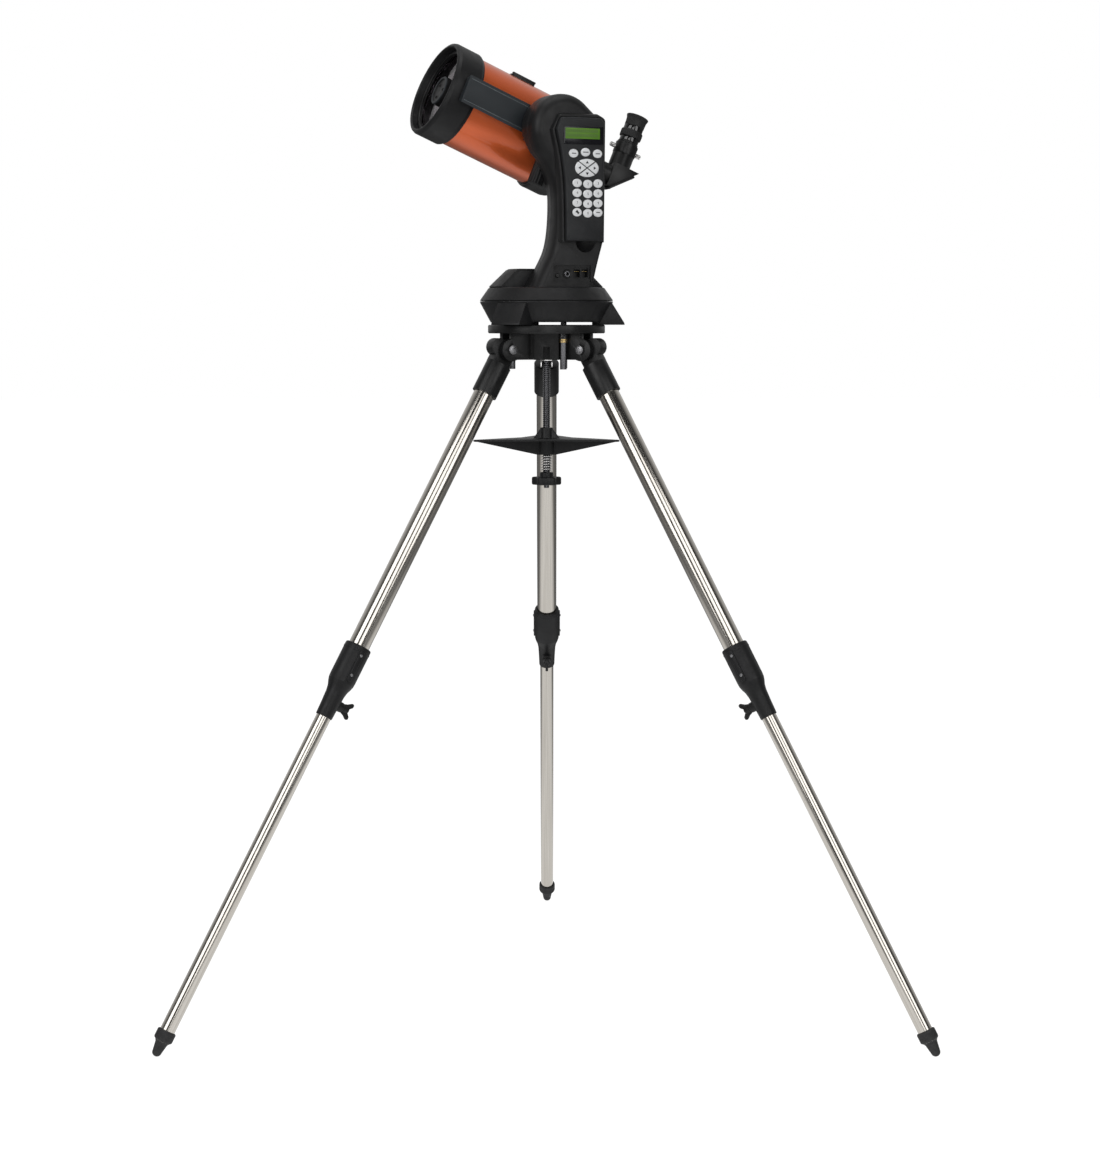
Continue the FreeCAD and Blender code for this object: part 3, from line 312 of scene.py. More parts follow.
# --- materials -----------------------------------------------------------------------------------
class Shader:
    """A principled material with a few shorthand nodes."""

    def __init__(self, name, colour, roughness=0.5, metallic=0.0, **sockets):
        self.material = bpy.data.materials.new(name)
        self.material.use_nodes = True
        self.tree = self.material.node_tree
        self.shader = self.tree.nodes["Principled BSDF"]
        self.set("Base Color", (*colour, 1.0))
        self.set("Roughness", roughness)
        self.set("Metallic", metallic)
        for socket, value in sockets.items():
            self.set(socket.replace("_", " "), value)
        self.place = self.node("ShaderNodeTexCoord").outputs["Object"]

    def set(self, socket, value):
        self.shader.inputs[socket].default_value = value

    def node(self, kind, **settings):
        node = self.tree.nodes.new(kind)
        for key, value in settings.items():
            setattr(node, key, value)
        return node

    def link(self, source, target):
        self.tree.links.new(source, target)

    def noise(self, scale, detail=4.0, roughness=0.5, vector=None):
        noise = self.node("ShaderNodeTexNoise")
        noise.inputs["Scale"].default_value = scale
        noise.inputs["Detail"].default_value = detail
        noise.inputs["Roughness"].default_value = roughness
        self.link(vector or self.place, noise.inputs["Vector"])
        return noise.outputs["Fac"]

    def ramp(self, source, low, high, colour_low, colour_high):
        ramp = self.node("ShaderNodeValToRGB")
        ramp.color_ramp.elements[0].position = low
        ramp.color_ramp.elements[1].position = high
        ramp.color_ramp.elements[0].color = (*colour_low, 1.0)
        ramp.color_ramp.elements[1].color = (*colour_high, 1.0)
        self.link(source, ramp.inputs["Fac"])
        return ramp.outputs["Color"]

    def span(self, source, low, high, to_low, to_high):
        span = self.node("ShaderNodeMapRange")
        for socket, value in (("From Min", low), ("From Max", high), ("To Min", to_low), ("To Max", to_high)):
            span.inputs[socket].default_value = value
        self.link(source, span.inputs["Value"])
        return span.outputs["Result"]

    def bump(self, source, strength, distance):
        bump = self.node("ShaderNodeBump")
        bump.inputs["Strength"].default_value = strength
        bump.inputs["Distance"].default_value = distance
        self.link(source, bump.inputs["Height"])
        self.link(bump.outputs["Normal"], self.shader.inputs["Normal"])

    def tint(self, source, low, high, dark, light):
        self.link(self.ramp(source, low, high, dark, light), self.shader.inputs["Base Color"])

    def rough(self, source, low, high, to_low, to_high):
        self.link(self.span(source, low, high, to_low, to_high), self.shader.inputs["Roughness"])


def moulded_plastic(name, dark, light, rough_low=0.38, rough_high=0.52, grain=2600.0, depth=0.00004,
                    sheen=0.3):
    """Moulded plastic with a fine leathery spark texture and faint mottling."""
    made = Shader(name, dark, 0.45, Specular_IOR_Level=sheen)
    made.tint(made.noise(38.0, 5.0), 0.3, 0.7, dark, light)
    made.rough(made.noise(90.0, 3.0), 0.3, 0.7, rough_low, rough_high)
    made.bump(made.noise(grain, 2.0), 0.35, depth)
    return made.material


def copper_paint():
    """Metallic copper-orange enamel under a clear coat, with fine flake."""
    made = Shader("copper_enamel", (0.7, 0.12, 0.03), 0.34, 0.62, Coat_Weight=0.6, Coat_Roughness=0.06)
    flake = made.node("ShaderNodeTexVoronoi")
    flake.inputs["Scale"].default_value = 3800.0
    made.link(made.place, flake.inputs["Vector"])
    made.tint(flake.outputs["Distance"], 0.1, 0.8, (0.80, 0.152, 0.034), (0.66, 0.105, 0.02))
    made.rough(made.noise(24.0, 3.0), 0.3, 0.7, 0.30, 0.38)
    made.bump(flake.outputs["Distance"], 0.06, 0.00002)
    return made.material


def polished_metal(name, dark, light, marks=300.0, rough_low=0.16, rough_high=0.30):
    """Bare metal with faint fine marks in its polish."""
    made = Shader(name, light, 0.22, 1.0)
    noise = made.noise(marks, 5.0, 0.6)
    made.tint(noise, 0.32, 0.68, dark, light)
    made.rough(noise, 0.3, 0.7, rough_low, rough_high)
    return made.material


def drawn_steel(side):
    """Polished stainless tube with hairlines that run along its leg."""
    made = Shader(f"drawn_steel_{side}", (0.6, 0.57, 0.52), 0.15, 1.0)
    along = made.node("ShaderNodeMapping")
    along.vector_type = "TEXTURE"
    along.inputs["Rotation"].default_value = leg_frame(side).to_3x3().normalized().to_euler()
    along.inputs["Scale"].default_value = (1 / 700, 1 / 700, 1 / 6)
    made.link(made.place, along.inputs["Vector"])
    hairlines = made.noise(1.0, 5.0, 0.55, along.outputs["Vector"])
    made.tint(hairlines, 0.3, 0.7, (0.53, 0.50, 0.455), (0.66, 0.63, 0.58))
    made.rough(hairlines, 0.3, 0.7, 0.10, 0.17)
    return made.material


def satin_paint(name, dark, light, rough_low=0.3, rough_high=0.42, sheen=0.35):
    """Powder coat: faint orange peel over a satin finish."""
    made = Shader(name, dark, 0.36, Specular_IOR_Level=sheen)
    made.tint(made.noise(30.0, 4.0), 0.3, 0.7, dark, light)
    made.rough(made.noise(60.0, 3.0), 0.3, 0.7, rough_low, rough_high)
    made.bump(made.noise(900.0, 2.0), 0.18, 0.00006)
    return made.material


def rubber(name):
    made = Shader(name, (0.012, 0.012, 0.012), 0.7)
    made.tint(made.noise(60.0, 4.0), 0.3, 0.7, (0.009, 0.009, 0.009), (0.02, 0.02, 0.021))
    made.rough(made.noise(150.0, 3.0), 0.3, 0.7, 0.6, 0.8)
    made.bump(made.noise(1400.0, 3.0), 0.5, 0.0001)
    return made.material


def lit_display():
    """Back-lit green of the character display."""
    made = Shader("green_display", (0.1, 0.2, 0.03), 0.35, 0.0, Emission_Strength=0.12,
                  Specular_IOR_Level=0.2)
    glow = made.noise(60.0, 2.0)
    made.tint(glow, 0.3, 0.7, (0.085, 0.19, 0.022), (0.11, 0.23, 0.03))
    made.set("Emission Color", (0.08, 0.24, 0.02, 1.0))
    return made.material


def dark_window():
    made = Shader("display_window", (0.006, 0.006, 0.008), 0.2, 0.0, Specular_IOR_Level=0.4)
    made.tint(made.noise(40.0, 3.0), 0.3, 0.7, (0.005, 0.005, 0.007), (0.01, 0.01, 0.013))
    made.rough(made.noise(200.0, 3.0), 0.3, 0.7, 0.18, 0.26)
    return made.material


def coated_glass():
    """Corrector glass: clear with a faint lilac anti-reflection coat."""
    made = Shader("coated_glass", (0.9, 0.8, 0.88), 0.02, 0.0, Transmission_Weight=1.0, IOR=1.3)
    made.tint(made.noise(12.0, 2.0), 0.3, 0.7, (0.88, 0.78, 0.87), (0.93, 0.84, 0.9))
    made.set("Specular Tint", (1.0, 0.8, 0.92, 1.0))
    made.rough(made.noise(80.0, 2.0), 0.3, 0.7, 0.01, 0.03)
    return made.material


def aluminised():
    made = Shader("aluminised_mirror", (0.86, 0.86, 0.88), 0.03, 1.0)
    made.tint(made.noise(20.0, 2.0), 0.3, 0.7, (0.84, 0.84, 0.87), (0.9, 0.9, 0.91))
    made.rough(made.noise(150.0, 2.0), 0.3, 0.7, 0.02, 0.05)
    return made.material


BLACK_PLASTIC = moulded_plastic("black_plastic", (0.0072, 0.0074, 0.008), (0.0105, 0.0107, 0.0115))
ARM_PLASTIC = moulded_plastic("arm_plastic", (0.0082, 0.0083, 0.0088), (0.0118, 0.0119, 0.0125), 0.4, 0.5)
CONTROL_PLASTIC = moulded_plastic("control_plastic", (0.014, 0.0147, 0.0162), (0.019, 0.02, 0.0215), 0.44,
                                  0.56)
KEY_PLASTIC = moulded_plastic("key_plastic", (0.80, 0.81, 0.82), (0.86, 0.87, 0.88), 0.4, 0.5, 900.0, 0.00002)
GEAR_PLASTIC = moulded_plastic("gear_plastic", (0.62, 0.6, 0.54), (0.7, 0.68, 0.62), 0.4, 0.55)
INK = moulded_plastic("dark_ink", (0.01, 0.01, 0.012), (0.02, 0.02, 0.022), 0.5, 0.6)
DISPLAY_CELL = moulded_plastic("display_cell", (0.072, 0.155, 0.02), (0.085, 0.18, 0.024), 0.3, 0.4)
COPPER = copper_paint()
PLATED = polished_metal("plated_steel", (0.26, 0.26, 0.27), (0.4, 0.4, 0.41), 500.0, 0.28, 0.42)
CHROME = polished_metal("chrome", (0.66, 0.65, 0.64), (0.8, 0.79, 0.78), 300.0, 0.06, 0.12)
DARK_STEEL = polished_metal("blackened_steel", (0.10, 0.10, 0.105), (0.17, 0.17, 0.18), 400.0, 0.14, 0.24)
BRASS = polished_metal("cut_brass", (0.55, 0.38, 0.14), (0.75, 0.55, 0.24), 400.0, 0.2, 0.34)
BLACK_PAINT = satin_paint("black_paint", (0.0065, 0.0067, 0.007), (0.0095, 0.0097, 0.01))
BLACK_GLOSS = satin_paint("black_gloss", (0.006, 0.006, 0.0065), (0.009, 0.009, 0.0095), 0.03, 0.06, 0.9)
SLATE_PAINT = satin_paint("slate_paint", (0.017, 0.021, 0.025), (0.022, 0.027, 0.031), 0.45, 0.55)
BRIGHT_EDGE = satin_paint("bright_edge", (0.10, 0.12, 0.13), (0.16, 0.18, 0.19), 0.2, 0.3)
INNER_BLACK = satin_paint("inner_black", (0.006, 0.006, 0.006), (0.009, 0.009, 0.009), 0.7, 0.85)
RUBBER = rubber("black_rubber")
DISPLAY = lit_display()
WINDOW = dark_window()
GLASS = coated_glass()
MIRROR = aluminised()


# --- optical tube --------------------------------------------------------------------------------
def optical_piece(name, profile, material, nodes=(), body="optical_tube", segments=160, soft=0.8):
    """Turned piece about the optical axis from (radius, x) points."""
    piece = mesh_object(name, lathe(profile, segments, soft), OPTICAL, body, material)
    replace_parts(piece, *nodes)


def build_tube():
    optical_piece("tube_skin", rectangle(68.9, SKIN_R, -35, 134), COPPER, ["tube"], soft=0.2)
    optical_piece("tube_lining", rectangle(68.3, 68.88, -34.5, 133.5), INNER_BLACK, soft=0)
    for end, outer, low, high in (("rear", 71.4, -24.8, -22.6), ("front", 71.2, 121.4, 123.9)):
        optical_piece(f"tube_{end}_band", rectangle(70.2, outer, low, high), BLACK_PLASTIC, soft=0.4)


def build_front_cell():
    shell = [(70.3, 124), (73.2, 124), (CELL_R, 127.5), (CELL_R, 163), (73.5, 167), (70.5, 169),
             (68.6, 169), (67.2, 167), (66.0, 156.2), (60.5, 156.2), (60.5, 153), (64.0, 153), (64.0, 148),
             (61, 148), (61, 145), (66, 145), (66, 134), (70.3, 134)]
    optical_piece("front_cell_shell", shell, BLACK_PLASTIC, ["front_cell"], soft=1.4)
    ring = [(60.6, 156.3), (65.6, 156.3), (65.4, 158.4), (64.6, 159), (61.4, 159), (60.6, 158.2)]
    optical_piece("corrector_ring", ring, BLACK_PAINT, soft=0.4)
    ring_screws("corrector_ring_screws", spread(6, 20, 63, 159), 1.9, 1.1, BLACK_PAINT)


def screw_head(radius, height):
    """Pan head with a cross recess, standing on Z = 0."""
    dome = [(0, height), (radius * 0.55, height), (radius * 0.95, height * 0.55), (radius, 0), (0, 0)]
    bm = lathe(dome, 24, 0.15, closed=False)
    bmesh.ops.holes_fill(bm, edges=[e for e in bm.edges if len(e.link_faces) == 1])
    arm = radius * 0.62
    w = radius * 0.13
    cross = [(-arm, -w), (-w, -w), (-w, -arm), (w, -arm), (w, -w), (arm, -w), (arm, w), (w, w), (w, arm),
             (-w, arm), (-w, w), (-arm, w)]
    return carved(bm, [prism(cross, height * 0.45, height + 1, 0)])


def ring_screws(name, places, radius, height, material):
    """Screw heads at places about the optical axis."""
    heads = [(screw_head(radius, height), at) for at in places]
    mesh_object(name, joined(heads), OPTICAL, "optical_tube", material)


def build_corrector():
    def surface(r):
        return 0.5 * math.cos(min(r / 64.0, 1.0) * 2 * math.pi)
    radii = [20.6 + (64 - 20.6) * k / 14 for k in range(15)]
    front = [(r, 152.6 + surface(r) * 0.6) for r in radii]
    back = [(r, 148.2) for r in (64, 42, 20.6)]
    optical_piece("corrector_glass", front + back, GLASS, ["corrector"], soft=0)
    rim = [(22.6, 132.5), (22.9, 153), (22.5, 157.5), (20.5, 159.8), (18.6, 159.8), (18.2, 158.2), (0, 158.2),
           (0, 132.5)]
    optical_piece("secondary_housing", rim, BLACK_PLASTIC, ["secondary_holder"], soft=0.6, segments=96)
    trim = [(18.4, 158.6), (22.6, 157.8), (22.9, 159.2), (21.6, 160.4), (19.4, 160.4)]
    optical_piece("secondary_trim_ring", trim, SLATE_PAINT, soft=0.5, segments=96)
    optical_piece("secondary_mirror_face", [(0, 129.2), (17, 129.6), (17, 132.6), (0, 132.6)], MIRROR,
                  soft=0.3, segments=72)
    ring_screws("collimation_screws", spread(3, 35, 11, 158.2), 2.6, 1.6, BLACK_PAINT)


def build_rear_cell():
    shell = [(70.3, -25), (73.5, -25), (75.0, -28), (75.0, -60), (73.2, -66.5), (68, -70), (60, -71),
             (27.5, -71), (26, -76), (16, -76), (16, -66), (68, -66), (68, -35), (70.3, -35)]
    optical_piece("rear_cell_shell", shell, BLACK_PLASTIC, ["rear_cell"], soft=1.6)
    optical_piece("rear_cell_seam", [(75.0, -31.5), (75.25, -31.3), (75.25, -30.3), (75.0, -30.1)],
                  BLACK_PAINT, soft=0.1)
    flipped = Matrix.Rotation(math.pi, 4, "X")
    ring_screws("rear_cell_screws", [at @ flipped for at in spread(6, 30, 64, -70.3)], 2.3, 1.2, PLATED)
    rim, hole, rim_x, sag = 66, 16.1, -50.2, 3.2
    radii = [rim - (rim - hole) * k / 12 for k in range(13)]
    face = [(r, rim_x - sag * (1 - (r / rim) ** 2)) for r in radii]
    optical_piece("primary_mirror_glass", [(hole, -60), (rim, -60), (rim, rim_x)] + face, MIRROR,
                  ["primary_mirror"], "primary_mirror", soft=0)
    optical_piece("baffle", rectangle(14, 16, -76, 60), INNER_BLACK, ["baffle_tube"], soft=0.3,
                  segments=72)


def fluted(radius, depth, flutes, low, high, soft=0.8, per_flute=6):
    """bmesh of a grip with rounded flutes along Z between two heights."""
    count = flutes * per_flute
    angles = [2 * math.pi * k / count for k in range(count)]
    levels = [(low, 1 - soft / radius, 0.0), (low + soft * 0.4, 1 - 0.25 * soft / radius, depth * 0.2),
              (low + soft * 1.4, 1.0, depth), (high - soft * 1.4, 1.0, depth),
              (high - soft * 0.4, 1 - 0.25 * soft / radius, depth * 0.2), (high, 1 - soft / radius, 0.0)]
    waves = [(0.5 + 0.5 * math.cos(a * flutes)) ** 1.5 for a in angles]
    return loft([[polar(radius * scale - deep * wave, a, z) for a, wave in zip(angles, waves)]
                 for z, scale, deep in levels])


def build_focus_knob():
    at = axis_along(TUBE, (-71.4, TUBE_SIDE - 33.0, -24.0), (-1, 0, 0))
    end_disc = lathe([(0, 23.2), (8.2, 23.2), (7.6, 23.9), (0, 23.9)], 48, 0.3)
    parts = [fluted(11.0, 0.9, 18, 0.2, 23.4, 1.0), end_disc]
    swapped("focus_knob", "focus_grip", joined(parts), at, "focus_knob", RUBBER)


def build_bar():
    """Dovetail bar with its slate label strip and the strip's two bright edge lines."""
    softened("dovetail_bar", "bar_body", SLATE_PAINT, 0.7)
    face_y = TUBE_SIDE + 87.0
    half = 18.2
    plate = rounded(rectangle(-24, 148.6, -half, half), 1.6)
    onto_face = Matrix.Rotation(math.radians(-90), 4, "X") @ Matrix.Scale(-1, 4, ALONG_Y)
    at = TUBE @ Matrix.Translation((0, face_y - 0.15, 0)) @ onto_face
    mesh_object("bar_label_strip", prism(plate, 0, 0.36, 0.16), at, "optical_tube", SLATE_PAINT)
    lines = [prism(rectangle(-22, 147, z - 0.28, z + 0.28), 0.2, 0.42, 0.03)
             for z in (1.2 - half, half - 1.2)]
    mesh_object("bar_label_lines", joined(lines), at, "optical_tube", BRIGHT_EDGE)


def build_finder_rail():
    """Low dovetail shoe for a finder, with rounded ends and two screws."""
    base = prism(rounded(rectangle(22, 64, -15, 15), 5.0), 66, 72.4, 0.5)
    lips = []
    for way in (-1, 1):
        lip = [(way * 11.5, 72.0), (way * 15, 72.0), (way * 15, 75.2), (way * 9.6, 75.2)]
        bm = side_prism(lip, 22.6, 63.4, 0.5)
        bm.transform(Matrix(((0, 1, 0, 0), (1, 0, 0, 0), (0, 0, 1, 0), (0, 0, 0, 1))))
        bmesh.ops.recalc_face_normals(bm, faces=bm.faces)
        lips.append(bm)
    inside = lathe(rectangle(0, 70.3, 0, 90), 160, 0)
    inside.transform(Matrix.Rotation(math.radians(90), 4, "Y"))
    shoe = carved(joined([base] + lips), [inside])
    at = TUBE @ Matrix.Translation((0, TUBE_SIDE, 0))
    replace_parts(mesh_object("finder_shoe", shoe, at, "optical_tube", BLACK_PAINT), "finder_rail")
    heads = [(screw_head(2.6, 1.2), Matrix.Translation((x, TUBE_SIDE, 72.4))) for x in (31, 55)]
    mesh_object("finder_shoe_screws", joined(heads), TUBE, "optical_tube", PLATED)


def build_saddle():
    softened("saddle", "saddle_casting", BLACK_PAINT, 1.2)
    at = axis_along(TUBE, (-10, 8, -84), (0, 0, 1))
    stem = lathe([(0, 37), (8, 37), (7, 41), (3, 42), (3, 60), (0, 60)], 40)
    grip = joined([fluted(12.3, 1.3, 14, 0, 38, 1.2), stem])
    swapped("saddle_knob", "saddle_grip", grip, at, "saddle_knob", BLACK_PLASTIC)


def build_eye_end():
    """Visual back, mirror diagonal, thumb screws and eyepiece."""
    back = [(15.95, -76), (22, -76), (22, -88), (20.4, -90), (20, -102), (15.95, -102)]
    optical_piece("visual_back_body", back, BLACK_PAINT, ["visual_back"], soft=0.6, segments=72)
    mesh_object("visual_back_knurl", fluted(22.5, 0.7, 40, -87.6, -77.0, 0.6, 4), OPTICAL, "optical_tube",
                BLACK_PAINT)
    softened("diagonal", "diagonal_housing", BLACK_PAINT, 1.0)
    cover = rounded(rectangle(-25.5, 27, -19, 19), 6.0)
    plate = prism(cover, 0.1, 3.4, 0.9, 3)
    screws = [(screw_head(1.8, 0.9), Matrix.Translation((x, y, 3.3))) for x in (-20, 21) for y in (-14, 14)]
    slant_at = axis_along(TUBE, (EYE_X - 4.5, TUBE_SIDE, -4.5), (-1, 0, -1))
    mesh_object("diagonal_cover_plate", plate, slant_at, "diagonal", BLACK_PAINT)
    mesh_object("diagonal_cover_screws", joined(screws), slant_at, "diagonal", PLATED)
    eye = TUBE @ Matrix.Translation((EYE_X, TUBE_SIDE, 0))
    optical_piece("diagonal_throat_trim", rectangle(17.4, 18.2, -128, -124), CHROME,
                  body="diagonal", soft=0.2, segments=72)
    collar = [(17.4, 40.5), (18.3, 40.5), (18.3, 57.2), (17.4, 57.9)]
    mesh_object("diagonal_holder_collar", lathe(collar, 72, 0.3), eye, "diagonal", BLACK_PAINT)
    for side, name in ((1, "front"), (-1, "back")):
        at = axis_along(TUBE, (EYE_X + side * 16.3, TUBE_SIDE, 48), (side, 0, 0))
        parts = [lathe(rectangle(0, 2, 0.8, 5), 24, 0.2), fluted(3.6, 0.4, 16, 3.7, 11.7, 0.5, 4)]
        screw = f"thumbscrew_{name}"
        swapped(screw, f"{screw}_knurled", joined(parts), at, screw, CHROME)
    barrel = [(0, 34), (12, 34), (BARREL_R, 34), (BARREL_R, 58), (12.5, 58.2), (12.0, 36), (0, 50)]
    low = [(0, 58.2), (16.5, 58.2), (16.6, 60.5), (15.2, 61.4), (15.2, 62.0), (0, 62.0)]
    band_low = rectangle(0, 15.4, 62.0, 68.6)
    grip = [(0, 68.6), (17.3, 69.0), (17.5, 70.5), (17.5, 79.0), (17.2, 80.3), (0, 80.3)]
    band_high = rectangle(0, 15.6, 80.3, 87.8)
    cup = [(12.6, 103.6), (13.4, 104.8), (17.4, 105), (18.0, 104.3), (17.7, 103.2), (16.4, 99.5), (16.0, 95),
           (15.8, 88.0), (0, 88.0), (0, 99.8), (11.0, 100.0)]
    for name, profile, material in (("barrel", barrel, CHROME), ("lower_ring", low, BLACK_PAINT),
                                    ("lower_band", band_low, BLACK_GLOSS),
                                    ("upper_band", band_high, BLACK_GLOSS)):
        swapped("eyepiece", f"eyepiece_{name}", lathe(profile, 80, 0.35), eye, "eyepiece", material)
    mesh_object("eyepiece_grip", joined([lathe(grip, 80, 0.5), fluted(17.7, 0.5, 36, 70.6, 79.2, 0.4, 4)]),
                eye, "eyepiece", RUBBER)
    mesh_object("eyepiece_cup", lathe(cup, 80, 0.6), eye, "eyepiece", RUBBER)
    lens = [(0, 101.6), (5, 101.4), (9.5, 100.4), (10.8, 99.9), (0, 99.9)]
    mesh_object("eyepiece_lens", lathe(lens, 64, 0), eye, "eyepiece", WINDOW)


# --- arm -----------------------------------------------------------------------------------------
def curve_through(points, count):
    """Evenly spread 2D points on a smooth curve through given points."""
    spline = [Vector(p) for p in points]
    dense = []
    for i in range(len(spline) - 1):
        p0, p1 = spline[max(i - 1, 0)], spline[i]
        p2, p3 = spline[i + 1], spline[min(i + 2, len(spline) - 1)]
        for k in range(12):
            t = k / 12
            dense.append(0.5 * ((2 * p1) + (p2 - p0) * t + (2 * p0 - 5 * p1 + 4 * p2 - p3) * t * t
                                + (3 * p1 - p0 - 3 * p2 + p3) * t ** 3))
    dense.append(spline[-1])
    lengths = [0.0]
    for a, b in zip(dense, dense[1:]):
        lengths.append(lengths[-1] + (b - a).length)
    out, j = [], 0
    for k in range(count):
        want = lengths[-1] * k / count
        while lengths[j + 1] < want:
            j += 1
        t = (want - lengths[j]) / max(lengths[j + 1] - lengths[j], 1e-9)
        out.append(dense[j].lerp(dense[j + 1], t))
    return out


def arm_ring(y, front, inset, back):
    """Side outline of the arm at y: front moves the swept edge, inset the head and back the rear edge."""
    r = 52.0 - inset
    head = [(-r * math.cos(math.radians(a)), ALT_HEIGHT + r * math.sin(math.radians(a)))
            for a in (43 + (190 - 43) * k / 27 for k in range(28))]
    f = front
    sweep = [(40 + f / 2 - inset, 1318), (24 + f - inset * 0.6, 1298), (11 + f, 1262), (9 + f, 1230),
             (11.5 + f, 1194), (17 + f, 1168), (27 + f, 1147), (48 - inset, ARM_FOOT)]
    front_edge = curve_through([head[-1]] + sweep, 48)
    sole = [(48 - inset - (94 - inset - back) * k / 12, ARM_FOOT) for k in range(12)]
    rear = curve_through([(-46 + back, ARM_FOOT), (-54 + back, 1146), (-63.5 + back, 1180)], 14)
    rise = [(-63.5 + back - 4 * k / 20, 1180 + 177 * k / 20) for k in range(20)]
    shoulder_start = (-67.5 + back, 1357.0 - back / 2)
    shoulder = [(shoulder_start[0] + (head[0][0] - shoulder_start[0]) * k / 8,
                 shoulder_start[1] + (head[0][1] - shoulder_start[1]) * k / 8) for k in range(8)]
    ring = head[:-1] + [tuple(p) for p in front_edge] + sole + [tuple(p) for p in rear] + rise + shoulder
    return [(x, y, z) for x, z in ring]


def control_outline(grow):
    """Outline of the hand control in the arm's side plane, grown by a margin."""
    g = grow
    left = curve_through([(5.8 + g, 1181.5 - g), (6.4 + g, 1225), (8.2 + g, 1270), (13.8 + g, 1311),
                          (21.5 + g, 1345), (22.6 + g, 1356)], 20)
    corners = [(15, 1365.5 + g), (-50, 1365.5 + g), (-56.5 - g, 1359 + g), (-55.5 - g, 1264),
               (-54.5 - g, 1181.5 - g)]
    return [tuple(p) for p in left] + rounded([tuple(left[-1])] + corners, 7.0, closed=False, steps=5)[1:]


def control_ring(y, grow):
    return [(x, y, z) for x, z in control_outline(grow)]


def side_prism(outline, y0, y1, bevel=0.6, steps=2):
    """Prism along Y from an outline of (x, z) points."""
    bm = prism(outline, 0, y1 - y0, bevel, steps)
    for vertex in bm.verts:
        x, z, height = vertex.co
        vertex.co = (x, y0 + height, z)
    return bm


def box_mesh(x0, x1, y0, y1, z0, z1, bevel):
    return side_prism(rectangle(x0, x1, z0, z1), y0, y1, bevel)


def build_arm():
    """Both shells of the arm, the raised rim about the hand control and the connector panel."""
    edges = ((22.0, -1, 2.6), (22.6, 0, 1.2), (24.0, 0.4, 0.3), (27.0, 0.8, 0.0), (36.0, 2.4, 0.0),
             (44.2, 4.0, 0.0), (44.7, 3.6, 0.6))
    inner = loft([arm_ring(y, front, inset, inset * 0.7) for y, front, inset in edges])
    bore = lathe(rectangle(0, 14.3, -2, 4), 64, 0)
    bore.transform(axis_along(LOCAL, (0, 22, ALT_HEIGHT), ALONG_Y))
    swapped("arm_inner_shell", "arm_tube_side", carved(inner, [bore]), MOUNT, "turning_base", ARM_PLASTIC, 30)
    edges = ((44.8, 3.6, 0.6, 0.5), (45.3, 4.2, 0.0, 0.0), (54.0, 4.6, 0.0, 0.0), (60.0, 4.2, 0.6, 0.2),
             (64.5, 3.0, 2.0, 0.7), (68.0, 1.2, 4.2, 1.4), (70.8, -1.0, 7.2, 2.3), (72.8, -3.4, 10.5, 3.3),
             (73.7, -5.2, 13.2, 4.2), (74.0, -6.4, 15.0, 5.2))
    outer = loft([arm_ring(*edge) for edge in edges])
    cuts = [side_prism(control_outline(CRADLE_GAP), 67.6, OUTSIDE, 0)]
    scoop = lathe([(0, -13), (6, -12.2), (12, -9), (17, -2), (19, 6), (19, 12), (0, 12)], 64, 0)
    scoop.transform(axis_along(LOCAL, (-31, 77, 1181), ALONG_Y))
    cuts.append(scoop)
    cuts.append(box_mesh(-40, 22, 72.4, OUTSIDE, 1120, 1145.5, 0))
    cuts.append(box_mesh(-39, -11.6, 70.6, OUTSIDE, 1124.8, 1142.2, 0))
    for x, z, r in ((JACK_X, JACK_Z, 4.6), (SWITCH_X, SWITCH_Z, 3.3)):
        hole = lathe(rectangle(0, r, 0, 40), 40, 0)
        hole.transform(axis_along(LOCAL, (x, 64, z), ALONG_Y))
        cuts.append(hole)
    for x in SOCKETS_X:
        cuts.append(box_mesh(x - 5.4, x + 5.4, 62, OUTSIDE, 1127.5, 1139.5, 0))
    swapped("arm_outer_shell", "arm_outer_side", carved(outer, cuts), MOUNT, "turning_base", ARM_PLASTIC, 30)
    wall = ((69.0, CRADLE_GAP), (69.0, 7.0), (74.0, 6.6), (78.6, 5.2), (80.4, 4.2), (80.8, 3.2),
            (80.8, CRADLE_GAP))
    rim = loft([control_ring(y, grow) for y, grow in wall + wall[:1]], capped=False)
    bmesh.ops.remove_doubles(rim, verts=rim.verts, dist=0.001)
    rim = carved(rim, [box_mesh(-80, 60, 60, OUTSIDE, 1150, 1180.4, 0)])
    mesh_object("cradle_rim", rim, MOUNT, "turning_base", ARM_PLASTIC, 30)
    build_panel()


